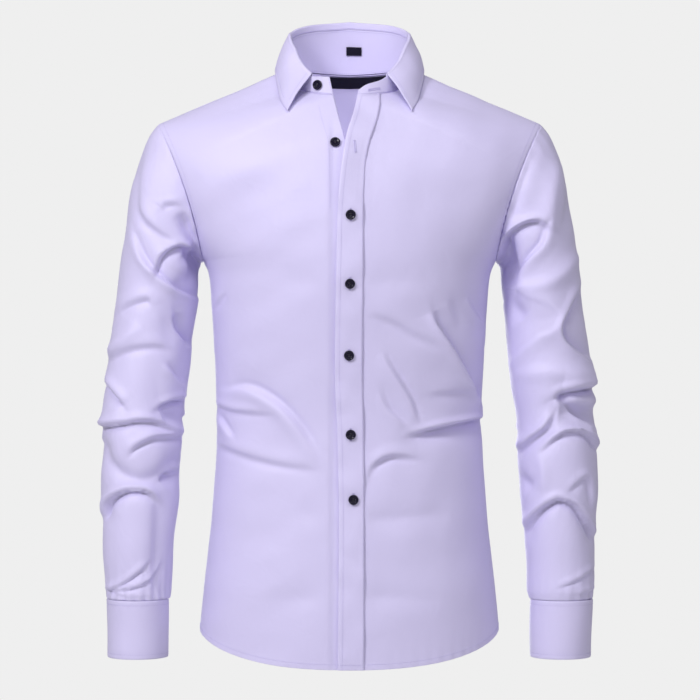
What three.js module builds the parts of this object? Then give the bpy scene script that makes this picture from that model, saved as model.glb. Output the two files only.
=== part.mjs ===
// A long sleeve dress shirt, filled out as if worn, with nobody in it.
// Millimetres, +Z up. The front faces -Y and +X is the wearer's left.
// The origin is at the base of the neck, level with the top of the shoulders.
import * as THREE from "three";

// Walls and seams
const CLOTH = 1.2; // one layer of the shirt's cloth
const DOUBLED = 1.6; // cuffs, placket and collar are cloth on cloth
const LABEL_CLOTH = 1.0;
const GAP = 0.3; // between two pieces at a seam
const LIFT = 0.7; // between a panel and what is sewn on it

const LAVENDER = 0xd2cbf0;
const NAVY = 0x171329;
const SATEEN = { color: LAVENDER, roughness: 0.55, metalness: 0 };
const RESIN = { color: NAVY, roughness: 0.3, metalness: 0 };
const TAPE = { color: NAVY, roughness: 0.8, metalness: 0 };

// The body at each height: half its width, and how far its front and back stand from the middle.
const BODY = [
  { z: -700, half: 176, front: -117, back: 107 },
  { z: -645, half: 174.5, front: -117, back: 107 },
  { z: -600, half: 170.5, front: -115.5, back: 104 },
  { z: -560, half: 166, front: -113, back: 99 },
  { z: -520, half: 161.5, front: -110, back: 92 },
  { z: -480, half: 158.5, front: -107, back: 84 },
  { z: -445, half: 156, front: -105, back: 78 },
  { z: -402, half: 155, front: -104, back: 75 },
  { z: -356, half: 156.5, front: -108, back: 79 },
  { z: -314, half: 158.5, front: -113, back: 87 },
  { z: -271, half: 161, front: -118, back: 94 },
  { z: -243, half: 163, front: -120.5, back: 98 },
  { z: -229, half: 165, front: -121, back: 100 },
  { z: -217, half: 170.5, front: -121, back: 101 },
  { z: -170, half: 172, front: -118.5, back: 103 },
  { z: -130, half: 172, front: -112.5, back: 101 },
  { z: -95, half: 172, front: -103, back: 97 },
  { z: -60, half: 172, front: -88, back: 89 },
  { z: -27, half: 172, front: -67, back: 76 },
];
const HEM = { front: -683, back: -690, side: -645 };
const SIDE_SEAM_Y = 3;

// The armhole is a tilted oval from the tip of the shoulder to the armpit.
const TIP = { x: 224, z: -57 };
const PIT = { x: 170.5, z: -217 };
const ARMHOLE = { y: 4, deep: 62, bow: 8 };

// How a row of the body runs from its middle to its outer end, as the shares of the way that the two
// handles of a cubic curve have gone. rise counts from the armpit, 0, to the shoulder seam, 1.
const ROWS = [
  { rise: 0, nearX: 0.6, nearY: 0, farX: 1, farY: 0.4, swell: 0 },
  { rise: 0.3, nearX: 0.55, nearY: 0, farX: 0.93, farY: 0.45, swell: 5 },
  { rise: 0.6, nearX: 0.4, nearY: 0, farX: 0.8, farY: 0.55, swell: 25 },
  { rise: 0.8, nearX: 0.35, nearY: 0.2, farX: 0.7, farY: 0.65, swell: 16 },
  { rise: 1, nearX: 0.3333, nearY: 0.3333, farX: 0.6667, farY: 0.6667, swell: 0 },
];
const NECK_RISE = 0.6; // rows above this one start on the neck seam
const BLEND_RISE = 0.44; // and the fronts start to turn towards it here
const NECK_FRONT_Z = -28;

// The neck seam and collar by the turn round the neck, 0 at the middle of the back and 90 over the
// shoulder. top is the upper edge of the stand, on the button side and on the buttonhole side.
const COLLAR = [
  { turn: 0, seam: 6, top: 60, topLeft: 60, fold: 69, edgeX: 0, edgeY: 72, edgeZ: -1.5 },
  { turn: 37, seam: 7.5, top: 55.5, topLeft: 55.5, fold: 64.5, edgeX: 53.5, edgeY: 58, edgeZ: -3 },
  { turn: 60, seam: 9, top: 50, topLeft: 50, fold: 58.5, edgeX: 76, edgeY: 36, edgeZ: -3.5 },
  { turn: 75, seam: 10, top: 45, topLeft: 45, fold: 53, edgeX: 84.5, edgeY: 16, edgeZ: -1.5 },
  { turn: 90, seam: 9, top: 40.5, topLeft: 40.5, fold: 48.5, edgeX: 87.5, edgeY: -3, edgeZ: 4.5 },
  { turn: 105, seam: -4, top: 31.5, topLeft: 31.5, fold: 38.5, edgeX: 87, edgeY: -12, edgeZ: 1 },
  { turn: 115, seam: -14, top: 23.5, topLeft: 23.5, fold: 30, edgeX: 86, edgeY: -21, edgeZ: -6 },
  { turn: 124, seam: -20.5, top: 11.5, topLeft: 11.5, fold: 17, edgeX: 84, edgeY: -33, edgeZ: -16 },
  { turn: 134, seam: -23, top: 1.5, topLeft: 1.5, fold: 6, edgeX: 80, edgeY: -55, edgeZ: -31 },
  { turn: 142, seam: -24.5, top: -5, topLeft: -5, fold: -1, edgeX: 71.5, edgeY: -78, edgeZ: -46.5 },
  { turn: 150, seam: -26, top: -5.5, topLeft: -10, fold: -2, edgeX: 71.5, edgeY: -78, edgeZ: -46.5 },
  { turn: 164, seam: -27.5, top: -6, topLeft: -15.5, fold: -2, edgeX: 71.5, edgeY: -78, edgeZ: -46.5 },
  { turn: 173, seam: -28, top: -6, topLeft: -23.5, fold: -2, edgeX: 74, edgeY: -86, edgeZ: -48 },
];
const NECK = { half: 68, y: -4, back: 62, front: 62 };
const STAND_TOP = { half: 69.5, y: -3, back: 57, front: 59 };
const STAND_INSET = 0.3; // the stand's foot lies this far inside the neck seam
const BAND_END = { right: 164, rightTop: 160.5, left: 172 };
const LEAF_END = 142;
const ROLL = 2.1; // radius of the collar's fold
const LEAF_BOW = 2.5;

// The opening of the fronts by height: the free edge of the placket, the seam that joins it to the
// left front, the free edge of the right front, which runs on under the placket, and the seam of the
// strip along that edge that carries the buttons.
const OPENING = [
  { z: -690, edge: -13.5, seam: 16.8, under: 8, stand: -23 },
  { z: -510, edge: -12.2, seam: 16.8, under: 8, stand: -23 },
  { z: -421, edge: -13.8, seam: 16.4, under: 8, stand: -23 },
  { z: -344, edge: -16.6, seam: 15, under: 7, stand: -23 },
  { z: -208, edge: -14.7, seam: 16, under: 8, stand: -23 },
  { z: -160, edge: -13.3, seam: 16, under: 8, stand: -23 },
  { z: -108, edge: -8.5, seam: 17.8, under: 3, stand: -23.3 },
  { z: -76, edge: -2.8, seam: 22.8, under: -5, stand: -24.5 },
  { z: -50, edge: 4.5, seam: 28.5, under: -12.5, stand: -30 },
  { z: -28, edge: 9.3, seam: 33.8, under: -18.3, stand: -35.5 },
];
const UNDER = { from: -29, to: -19, high: -48, low: -82 }; // where the right front sinks under the left

// The sleeve at each ring, from the armhole to the cuff: its outer and inner ends seen from the
// front, half its depth from front to back, and the middle of that depth.
const SLEEVE = [
  { outX: 224, outZ: -57, inX: 170.5, inZ: -217, deep: 62, y: 4 },
  { outX: 233, outZ: -68, inX: 173, inZ: -220, deep: 63, y: 4 },
  { outX: 243, outZ: -91, inX: 175, inZ: -223, deep: 63, y: 4 },
  { outX: 251, outZ: -117, inX: 176, inZ: -226, deep: 63, y: 4 },
  { outX: 258, outZ: -150, inX: 176.5, inZ: -231, deep: 62, y: 3 },
  { outX: 264, outZ: -190, inX: 177, inZ: -240, deep: 61, y: 2 },
  { outX: 269, outZ: -232, inX: 178.5, inZ: -256, deep: 60, y: 1 },
  { outX: 274, outZ: -275, inX: 181, inZ: -282, deep: 59, y: -1 },
  { outX: 280, outZ: -318, inX: 184.5, inZ: -320, deep: 57, y: -3 },
  { outX: 285, outZ: -362, inX: 190, inZ: -362, deep: 56, y: -5 },
  { outX: 288, outZ: -402, inX: 194, inZ: -402, deep: 55, y: -8 },
  { outX: 289, outZ: -444, inX: 196, inZ: -444, deep: 53, y: -11 },
  { outX: 288, outZ: -490, inX: 199, inZ: -490, deep: 50, y: -15 },
  { outX: 286, outZ: -540, inX: 203.5, inZ: -540, deep: 47, y: -19 },
  { outX: 284, outZ: -580, inX: 206.5, inZ: -580, deep: 44, y: -22 },
  { outX: 282, outZ: -608.6, inX: 208.5, inZ: -608.6, deep: 42, y: -24 },
];
const CUFF = { top: -609, bottom: -676, outX: 280.5, inX: 209.5, deep: 41.5, y: -27 };
const CUFF_LAP = 0.09; // share of the way round that the cuff's ends lie over each other
const SLIT_TURN = -0.14; // the slit's place round the sleeve, towards the back from the outer side
const SLIT = { half: 0.045, low: 0.995, high: 0.76 };

// Folds, drawn as seen from the front or the back. deep is in mm, below 0 for a trough.
const BODY_FOLDS = [
  { face: "front", wide: 14, deep: -2.5, path: [[-78, -243], [103, -243]] },
  { face: "front", wide: 12, deep: 3, path: [[18, -278], [48, -288], [103, -321]] },
  { face: "front", wide: 8, deep: -4.5, path: [[38, -323], [57, -350], [70, -376]] },
  { face: "front", wide: 7, deep: -4, path: [[36, -372], [47, -390], [66, -410]] },
  {
    face: "front", wide: 12, deep: -6,
    path: [[-130, -361], [-109, -365], [-80, -391], [-51, -428], [-23, -457]],
  },
  { face: "front", wide: 9, deep: 4.5, path: [[-150, -377], [-138, -387], [-98, -390]] },
  { face: "front", wide: 7, deep: -3.5, path: [[-149, -401], [-135, -421]] },
  { face: "front", wide: 10, deep: -3.5, path: [[-145, -434], [-114, -443], [-76, -450]] },
  {
    face: "front", wide: 9, deep: -5.5,
    path: [[96, -283], [105, -301], [120, -325], [136, -350], [150, -372]],
  },
  { face: "front", wide: 7, deep: -7, path: [[153, -409], [134, -408], [118, -415], [81, -415]] },
  { face: "front", wide: 9, deep: -4.5, path: [[17, -476], [26, -453], [47, -442], [77, -444]] },
  { face: "front", wide: 14, deep: -2.5, path: [[-58, -507], [116, -507]] },
  { face: "front", wide: 13, deep: -2.5, path: [[-97, -605], [106, -605]] },
  { face: "back", wide: 11, deep: -5, path: [[-148, -330], [-100, -372], [-50, -388]] },
  { face: "back", wide: 10, deep: -5, path: [[150, -318], [104, -356], [60, -380]] },
  { face: "back", wide: 10, deep: -4.5, path: [[-146, -410], [-90, -428], [-20, -424]] },
  { face: "back", wide: 9, deep: -4.5, path: [[146, -402], [98, -432], [30, -440]] },
  { face: "back", wide: 14, deep: -3.5, path: [[-120, -476], [-30, -500], [70, -488]] },
  { face: "back", wide: 12, deep: -4, path: [[-150, -232], [-118, -262], [-96, -310]] },
  { face: "back", wide: 12, deep: -4, path: [[152, -228], [124, -266], [104, -300]] },
];
const RIGHT_SLEEVE_FOLDS = [
  { face: "front", wide: 9, deep: -7, path: [[199, -163], [186, -196], [173, -214]] },
  { face: "front", wide: 8, deep: -4, path: [[220, -228], [215, -211], [201, -202], [188, -202]] },
  {
    face: "front", wide: 10, deep: -6.5,
    path: [[250, -187], [239, -211], [221, -235], [198, -257], [177, -259]],
  },
  { face: "front", wide: 10, deep: -4, path: [[242, -150], [240, -166], [220, -182], [189, -199]] },
  { face: "front", wide: 10, deep: -5, path: [[201, -279], [183, -316]] },
  { face: "front", wide: 9, deep: 4.5, path: [[276, -319], [240, -293]] },
  { face: "front", wide: 9, deep: -5, path: [[279, -328], [252, -319], [228, -316], [207, -319]] },
  { face: "front", wide: 9, deep: -5.5, path: [[280, -361], [260, -384]] },
  { face: "front", wide: 11, deep: -10, path: [[219, -387], [192, -390]] },
  { face: "front", wide: 7, deep: -6.5, path: [[287, -410], [260, -403], [226, -404]] },
  { face: "front", wide: 8, deep: 5, path: [[285, -402], [260, -388]] },
  { face: "front", wide: 7, deep: -6, path: [[253, -440], [241, -430], [228, -422], [192, -422]] },
  {
    face: "front", wide: 9, deep: -7,
    path: [[287, -433], [272, -456], [254, -466], [236, -470], [216, -464], [195, -445]],
  },
  {
    face: "front", wide: 8, deep: -4.5,
    path: [[281, -508], [275, -494], [260, -485], [242, -482], [219, -493]],
  },
  { face: "front", wide: 7, deep: -3, path: [[279, -584], [260, -567], [231, -552]] },
  { face: "back", wide: 10, deep: -5, path: [[250, -120], [222, -165], [186, -214]] },
  { face: "back", wide: 12, deep: -5, path: [[262, -200], [236, -232], [190, -256]] },
  { face: "back", wide: 11, deep: -7, path: [[280, -352], [250, -372], [205, -385]] },
  { face: "back", wide: 9, deep: -6, path: [[286, -400], [250, -408], [200, -400]] },
  { face: "back", wide: 10, deep: -6, path: [[285, -428], [255, -446], [212, -452]] },
];
const LEFT_SLEEVE_FOLDS = [
  { face: "front", wide: 9, deep: -5, path: [[199, -124], [184, -164]] },
  {
    face: "front", wide: 9, deep: 5,
    path: [[241, -101], [236, -136], [232, -163], [226, -186], [218, -200], [196, -229]],
  },
  { face: "front", wide: 10, deep: -4, path: [[246, -108], [262, -160], [266, -209]] },
  { face: "front", wide: 8, deep: 5, path: [[174, -199], [187, -183], [200, -175], [224, -175]] },
  { face: "front", wide: 8, deep: -6.5, path: [[176, -211], [188, -196], [200, -188], [220, -188]] },
  {
    face: "front", wide: 8, deep: 6,
    path: [[215, -206], [199, -222], [190, -241], [196, -258], [221, -269], [242, -283]],
  },
  { face: "front", wide: 8, deep: 6, path: [[242, -283], [231, -298], [212, -310], [187, -338]] },
  { face: "front", wide: 11, deep: -6, path: [[185, -273], [212, -302]] },
  { face: "front", wide: 10, deep: -6.5, path: [[267, -258], [249, -296], [277, -318]] },
  { face: "front", wide: 12, deep: -11, path: [[236, -377], [260, -383], [286, -385]] },
  { face: "front", wide: 8, deep: 5, path: [[201, -441], [233, -412], [253, -402], [272, -405]] },
  {
    face: "front", wide: 8, deep: -6.5,
    path: [[221, -434], [233, -423], [251, -415], [268, -417], [286, -437]],
  },
  { face: "front", wide: 9, deep: -5, path: [[251, -483], [276, -471], [284, -505]] },
  {
    face: "front", wide: 8, deep: -5,
    path: [[201, -528], [213, -510], [225, -496], [240, -491], [258, -496], [284, -526]],
  },
  { face: "back", wide: 10, deep: -5, path: [[252, -126], [226, -160], [184, -206]] },
  { face: "back", wide: 12, deep: -5, path: [[264, -214], [232, -246], [192, -262]] },
  { face: "back", wide: 11, deep: -6.5, path: [[282, -344], [246, -366], [200, -372]] },
  { face: "back", wide: 9, deep: -6, path: [[287, -392], [244, -402], [198, -414]] },
  { face: "back", wide: 10, deep: -6, path: [[287, -436], [250, -450], [208, -440]] },
];

// Buttons on the placket, by height and by their place to the side.
const BUTTON = { radius: 5.75, thick: 2.4, rim: 1.3, dish: 0.6, sides: 12 };
const PLACKET_BUTTONS = [
  { name: "button_3", x: 0.5, z: -167.5 },
  { name: "button_4", x: 0.9, z: -245.5 },
  { name: "button_5", x: 0, z: -327.3 },
  { name: "button_6", x: 2, z: -417.5 },
  { name: "button_7", x: 5.4, z: -490.3 },
];
const LOOSE_BUTTON = { name: "button_2", x: -15.9, z: -84 };
const COLLAR_BUTTON = { name: "button_1", turn: -148.3, high: 0.5 };
const CUFF_BUTTON = { round: 1.045, high: 0.5 };

const MAIN_LABEL = { left: -0.085, right: 0.115, low: 0.79, high: 0.98 };
const SIZE_LABEL = { left: -3.2, right: 12.4, low: 0.43, high: 0.62 };

// Numbers of steps along each piece
const STEPS = {
  stripAcross: 2,
  frontAcross: 8,
  below: 17,
  frontAbove: 7,
  frontNeck: 8,
  yokeNeck: 9,
  yokeShoulder: 5,
  yokeUp: 5,
  backAcross: 16,
  backAbove: 5,
  sleeveRound: 26,
  sleeveRings: 30,
  cuffRound: 26,
  cuffUp: 2,
  standUp: 2,
  labelAcross: 8,
};

const mix = (a, b, t) => a + (b - a) * t;
const radians = THREE.MathUtils.degToRad;

function smooth(low, high, value) {
  const t = Math.min(1, Math.max(0, (value - low) / (high - low)));
  return t * t * (3 - 2 * t);
}

function steps(from, to, count) {
  return Array.from({ length: count + 1 }, (_, i) => mix(from, to, i / count));
}

// One column of a table as a smooth curve that doesn't swing past its rows.
function curve(keys, values) {
  const last = keys.length - 1;
  const secant = (i) => (values[i + 1] - values[i]) / (keys[i + 1] - keys[i]);
  const slopes = keys.map((_, i) => {
    if (i === 0) return secant(0);
    if (i === last) return secant(last - 1);
    const before = secant(i - 1);
    const after = secant(i);
    return before * after > 0 ? (2 * before * after) / (before + after) : 0;
  });
  return (at) => {
    let i = 0;
    while (i < last - 1 && at > keys[i + 1]) i += 1;
    const span = keys[i + 1] - keys[i];
    const t = (at - keys[i]) / span;
    const s = 1 - t;
    const start = values[i] * (1 + 2 * t) * s * s + slopes[i] * span * t * s * s;
    const end = values[i + 1] * t * t * (3 - 2 * t) - slopes[i + 1] * span * t * t * s;
    return start + end;
  };
}

// A table as an object with one such curve for each column.
function curves(rows, key) {
  const keys = rows.map((row) => row[key]);
  const names = Object.keys(rows[0]).filter((name) => name !== key);
  return Object.fromEntries(names.map((name) => [name, curve(keys, rows.map((row) => row[name]))]));
}

const body = curves(BODY, "z");
const row = curves(ROWS, "rise");
const collar = curves(COLLAR, "turn");
const opening = curves(OPENING, "z");
const sleeve = curves(SLEEVE.map((ring, i) => ({ ...ring, at: i / (SLEEVE.length - 1) })), "at");

function cubic(a, b, c, d, t) {
  const s = 1 - t;
  return a * s * s * s + 3 * b * s * s * t + 3 * c * s * t * t + d * t * t * t;
}

// Unit normal of a surface, from a short step each way along it. out turns it to the outside.
const STEP = 1e-3;
function normalAt(point, u, v, out) {
  const across = point(u + STEP, v).sub(point(u - STEP, v));
  const along = point(u, v + STEP).sub(point(u, v - STEP));
  return across.cross(along).normalize().multiplyScalar(out);
}

// How far a place lies from a fold's line, and how far along the line it is, from 0 to 1.
function nearest(path, x, z) {
  let best = { away: Infinity, along: 0 };
  for (let i = 0; i < path.length - 1; i += 1) {
    const [ax, az] = path[i];
    const [bx, bz] = path[i + 1];
    const length2 = (bx - ax) ** 2 + (bz - az) ** 2;
    const t = Math.min(1, Math.max(0, ((x - ax) * (bx - ax) + (z - az) * (bz - az)) / length2));
    const away = Math.hypot(x - mix(ax, bx, t), z - mix(az, bz, t));
    if (away < best.away) best = { away, along: (i + t) / (path.length - 1) };
  }
  return best;
}

// Height of the folds at a place, where facing is 1 on the front and -1 on the back.
function foldHeight(folds, x, z, facing) {
  let height = 0;
  for (const fold of folds) {
    const { away, along } = nearest(fold.path, x, z);
    const seen = smooth(-0.35, 0.35, fold.face === "front" ? facing : -facing);
    const taper = 0.4 + 0.6 * Math.sin(Math.PI * along);
    height += fold.deep * taper * seen * Math.exp(-((away / fold.wide) ** 2));
  }
  return height;
}

// A surface with its folds, and a surface raised off another.
function draped(point, out, folds, mirror, fade) {
  return (u, v) => {
    const base = point(u, v);
    const normal = normalAt(point, u, v, out);
    const height = foldHeight(folds, base.x * mirror, base.z, -normal.y) * fade(u, v);
    return base.addScaledVector(normal, height);
  };
}

function raised(point, out, height) {
  return (u, v) => point(u, v).addScaledVector(normalAt(point, u, v, out), height);
}

// A cloth wall: a grid of outer points, the same grid moved in by its thickness, and a rim.
// rim gives the way across the wall at a seam, so that both pieces are cut alike there.
function wall({ point, us, vs, out, thick, round = false, rim = () => null }) {
  const across = us.length;
  const up = vs.length;
  const outer = vs.map((v) => us.map((u) => point(u, v)));
  const normals = vs.map((v) => us.map((u) => rim(u, v) || normalAt(point, u, v, out)));
  const pulls = [];
  const pull = (j, i, toJ, toI) => {
    const way = outer[toJ][toI].clone().sub(outer[j][i]).setLength(GAP / 2);
    pulls.push([outer[j][i], way]);
  };
  for (let i = 0; i < across; i += 1) {
    pull(0, i, 1, i);
    pull(up - 1, i, up - 2, i);
  }
  for (let j = 0; j < up && !round; j += 1) {
    pull(j, 0, j, 1);
    pull(j, across - 1, j, across - 2);
  }
  pulls.forEach(([edge, way]) => edge.add(way));

  const positions = [];
  for (const layer of [0, thick]) {
    outer.forEach((line, j) =>
      line.forEach((p, i) => positions.push(...p.clone().addScaledVector(normals[j][i], -layer))),
    );
  }
  const inner = across * up;
  const at = (j, i) => j * across + (i % across);
  const faces = [];
  const quad = (a, b, c, d) => faces.push([a, b, c], [a, c, d]);
  const cells = round ? across : across - 1;
  for (let j = 0; j < up - 1; j += 1) {
    for (let i = 0; i < cells; i += 1) {
      const [a, b, c, d] = [at(j, i), at(j, i + 1), at(j + 1, i + 1), at(j + 1, i)];
      quad(a, b, c, d);
      quad(inner + d, inner + c, inner + b, inner + a);
    }
  }
  const strip = (a, b) => quad(b, a, inner + a, inner + b);
  for (let i = 0; i < cells; i += 1) {
    strip(at(0, i), at(0, i + 1));
    strip(at(up - 1, i + 1), at(up - 1, i));
  }
  for (let j = 0; j < up - 1 && !round; j += 1) {
    strip(at(j + 1, 0), at(j, 0));
    strip(at(j, across - 1), at(j + 1, across - 1));
  }
  const index = faces.flatMap(([a, b, c]) => (out > 0 ? [a, b, c] : [a, c, b]));
  const geometry = new THREE.BufferGeometry();
  geometry.setAttribute("position", new THREE.Float32BufferAttribute(positions, 3));
  geometry.setIndex(index);
  geometry.computeVertexNormals();
  return geometry;
}

const shirt = new THREE.Group();

function add(name, geometry, finish) {
  const mesh = new THREE.Mesh(geometry, new THREE.MeshStandardMaterial(finish));
  mesh.name = name;
  shirt.add(mesh);
  return mesh;
}

// Armhole: angle 0 at the shoulder tip, half a turn at the armpit, and the front in between.
function armhole(side, angle) {
  const share = (1 + Math.cos(angle)) / 2;
  const x = mix(PIT.x, TIP.x, share) - ARMHOLE.bow * Math.sin(angle) ** 2;
  const y = ARMHOLE.y - ARMHOLE.deep * Math.sin(angle);
  return new THREE.Vector3(side * x, y, mix(PIT.z, TIP.z, share));
}

// The way across the cloth at the armhole seam lies in the armhole's own plane.
function armholeRim(side, angle) {
  const tall = new THREE.Vector3(side * (TIP.x - PIT.x), 0, TIP.z - PIT.z).normalize();
  return tall.multiplyScalar(Math.cos(angle)).setY(-Math.sin(angle)).normalize();
}

const SHOULDER_RIM = new THREE.Vector3(TIP.x - NECK.half, 0, TIP.z - 9);
function shoulderRim(side) {
  return new THREE.Vector3(-side * SHOULDER_RIM.z, 0, SHOULDER_RIM.x).normalize();
}

// A loop round the neck at a signed turn in degrees, plus outwards by a distance.
function loop(size, turn, outwards, z) {
  const c = Math.cos(radians(turn));
  const reach = (c > 0 ? size.back : size.front) + outwards;
  return new THREE.Vector3((size.half + outwards) * Math.sin(radians(turn)), size.y + reach * c, z);
}

function neckSeam(turn) {
  return loop(NECK, turn, 0, collar.seam(Math.abs(turn)));
}

// Share of a row's width that is reached at q, and the q that reaches a share near the middle.
function reached(shape, q) {
  return cubic(0, shape.nearX, shape.farX, 1, q);
}

function placeOf(shape, share) {
  let q = share / (3 * shape.nearX);
  for (let i = 0; i < 4; i += 1) {
    const slope = (reached(shape, q + STEP) - reached(shape, q - STEP)) / (2 * STEP);
    q -= (reached(shape, q) - share) / slope;
  }
  return q;
}

function shapeAt(rise) {
  const at = Math.max(0, rise);
  return {
    nearX: row.nearX(at),
    nearY: row.nearY(at),
    farX: row.farX(at),
    farY: row.farY(at),
    swell: rise > 0 ? row.swell(at) : 0,
  };
}

// A point of a row from the point near the middle to the outer end, bulging by its swell.
function alongRow(near, far, shape, swellWay, q) {
  const y1 = mix(near.y, far.y, shape.nearY) + shape.swell * swellWay;
  const y2 = mix(near.y, far.y, shape.farY) + shape.swell * swellWay;
  const x1 = mix(near.x, far.x, shape.nearX);
  const x2 = mix(near.x, far.x, shape.farX);
  const z1 = mix(near.z, far.z, shape.nearX);
  const z2 = mix(near.z, far.z, shape.farX);
  return new THREE.Vector3(
    cubic(near.x, x1, x2, far.x, q),
    cubic(near.y, y1, y2, far.y, q),
    cubic(near.z, z1, z2, far.z, q),
  );
}

function hemHeight(face, q) {
  const s = Math.min(1, Math.abs(q));
  const share = s * s * (1 + 1.15 * s * (1 - s));
  return mix(HEM[face], HEM.side, share);
}

// The body below the armpits, where t runs from the hem, 0, to the armpit, 1.
function lowerPoint(side, face, q, t) {
  const z = mix(hemHeight(face, q), PIT.z, t);
  const near = new THREE.Vector3(0, body[face](z), z);
  const far = new THREE.Vector3(side * body.half(z), SIDE_SEAM_Y, z);
  return alongRow(near, far, shapeAt(0), 0, q);
}

// The front by u, from its inner edge to the side, and t, from the hem past the armpit to the
// shoulder seam at 2. edge and seam give, by height, how far to the side the inner edge is and the
// seam that lies along it.
const STRIP = { left: 0.115, right: 0.085 }; // the share of the way across that the strip takes up
function frontPoint(side, edge, seam, strip, corner) {
  const placeAlong = (shape, width, z, u) => {
    const stitched = placeOf(shape, seam(z) / width);
    if (u > strip) return mix(stitched, 1, (u - strip) / (1 - strip));
    return mix(placeOf(shape, edge(z) / width), stitched, u / strip);
  };
  return (u, t) => {
    const rise = t - 1;
    if (rise <= 0) {
      const z = mix(HEM.front, PIT.z, t);
      return lowerPoint(side, "front", placeAlong(shapeAt(0), side * body.half(z), z, u), t);
    }
    const shape = shapeAt(rise);
    const far = armhole(side, Math.PI * (1 - rise));
    const blend = smooth(BLEND_RISE, NECK_RISE, rise);
    const z = mix(PIT.z, NECK_FRONT_Z, rise / NECK_RISE);
    const point = new THREE.Vector3();
    if (blend < 1) {
      const near = new THREE.Vector3(0, body.front(z), z);
      const place = placeAlong(shape, far.x, z, u);
      point.addScaledVector(alongRow(near, far, shape, -1, place), 1 - blend);
    }
    if (blend > 0) {
      const turn = mix(corner, 90, (rise - NECK_RISE) / (1 - NECK_RISE));
      const along = Math.min(1, (rise - BLEND_RISE) / (NECK_RISE - BLEND_RISE));
      const start = neckSeam(side * Math.min(corner, turn));
      const low = mix(PIT.z, NECK_FRONT_Z, BLEND_RISE / NECK_RISE);
      if (along < 1) start.set(edge(z), mix(body.front(low), start.y, along), z);
      point.addScaledVector(alongRow(start, far, shape, -1, u), blend);
    }
    return point;
  };
}

const RIGHT = -1;
const LEFT = 1;
const bodyFade = (u, t) => 1 - smooth(0.75, 1, u) * smooth(0.9, 1.1, t);
const frontFade = (u, t) => bodyFade(u, t) * smooth(0.08, 0.2, u); // the strips are stiffer

const leftFlat = frontPoint(LEFT, opening.edge, opening.seam, STRIP.left, BAND_END.left);
const leftFront = draped(leftFlat, LEFT, BODY_FOLDS, 1, frontFade);

// The right front runs on under the left one, so near its free edge it sinks by their thickness.
const rightFlat = frontPoint(RIGHT, opening.under, opening.stand, STRIP.right, BAND_END.right);
const rightOver = draped(rightFlat, RIGHT, BODY_FOLDS, 1, frontFade);
function rightFront(u, t) {
  const point = rightOver(u, t);
  const near = smooth(UNDER.from, UNDER.to, point.x) * (1 - smooth(UNDER.low, UNDER.high, point.z));
  return point.addScaledVector(normalAt(rightOver, u, t, RIGHT), -near * (CLOTH + LIFT));
}

function frontRim(side) {
  return (u, t) => {
    if (u === 1 && t >= 1) return armholeRim(side, Math.PI * (2 - t));
    return t === 2 ? shoulderRim(side) : null;
  };
}

const belowRows = steps(0, 1, STEPS.below);
const frontRows = [
  ...belowRows,
  ...steps(1, 1 + NECK_RISE, STEPS.frontAbove).slice(1),
  ...steps(1 + NECK_RISE, 2, STEPS.frontNeck).slice(1),
];
const stripColumns = (strip) => steps(0, strip, STEPS.stripAcross);
for (const [name, point, side, strip] of [
  ["front_right", rightFront, RIGHT, STRIP.right],
  ["front_left", leftFront, LEFT, STRIP.left],
]) {
  const us = [...stripColumns(strip), ...steps(strip, 1, STEPS.frontAcross).slice(1)];
  add(name, wall({ point, us, vs: frontRows, out: side, thick: CLOTH, rim: frontRim(side) }), SATEEN);
}

// The u and v of a surface at a place seen from the front.
function placeOn(point, from, x, z) {
  let [u, v] = from;
  for (let i = 0; i < 10; i += 1) {
    const p = point(u, v);
    const du = point(u + STEP, v).sub(p).divideScalar(STEP);
    const dv = point(u, v + STEP).sub(p).divideScalar(STEP);
    const det = du.x * dv.z - dv.x * du.z;
    u += ((x - p.x) * dv.z - (z - p.z) * dv.x) / det;
    v += ((z - p.z) * du.x - (x - p.x) * du.z) / det;
  }
  return [u, v];
}

function riseOf(z) {
  if (z < PIT.z) return (z - HEM.front) / (PIT.z - HEM.front);
  return 1 + (NECK_RISE * (z - PIT.z)) / (NECK_FRONT_Z - PIT.z);
}

// The placket lies on the left front, from its free edge to its seam. Above the corner of the neck
// its top is cut along the neck seam, so its rows grow shorter there.
const PLACKET_TOP = 0.117;
const onLeftFront = raised(leftFront, LEFT, DOUBLED + LIFT);
function placketSurface(u, t) {
  const above = Math.max(0, t - 1 - NECK_RISE);
  return onLeftFront(u * (1 - above / PLACKET_TOP), t);
}
add(
  "placket",
  wall({
    point: placketSurface,
    us: stripColumns(STRIP.left),
    vs: frontRows.filter((t) => t < 1 + NECK_RISE + PLACKET_TOP),
    out: LEFT,
    thick: DOUBLED,
  }),
  SATEEN,
);

// The back below the yoke, by q from the wearer's right side, -1, to the left, 1.
const YOKE_Z = -95;
const yokeRise = (YOKE_Z - PIT.z) / (TIP.z - PIT.z);
const backAngle = (z) => -Math.acos((2 * (z - PIT.z)) / (TIP.z - PIT.z) - 1);
const YOKE_SHAPE = { rise: yokeRise, nearX: 0.55, nearY: 0, farX: 0.93, farY: 0.5, swell: 0 };

function backShape(z) {
  const share = smooth(PIT.z, YOKE_Z, z);
  const low = shapeAt(0);
  return {
    nearX: mix(low.nearX, YOKE_SHAPE.nearX, share),
    nearY: 0,
    farX: mix(low.farX, YOKE_SHAPE.farX, share),
    farY: mix(low.farY, YOKE_SHAPE.farY, share),
    swell: 0,
  };
}

function backPoint(q, t) {
  const side = q < 0 ? RIGHT : LEFT;
  if (t <= 1) return lowerPoint(side, "back", Math.abs(q), t);
  const z = mix(PIT.z, YOKE_Z, t - 1);
  const near = new THREE.Vector3(0, body.back(z), z);
  const far = armhole(side, backAngle(Math.min(z, TIP.z - STEP)));
  return alongRow(near, far, backShape(z), 0, Math.abs(q));
}

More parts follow.
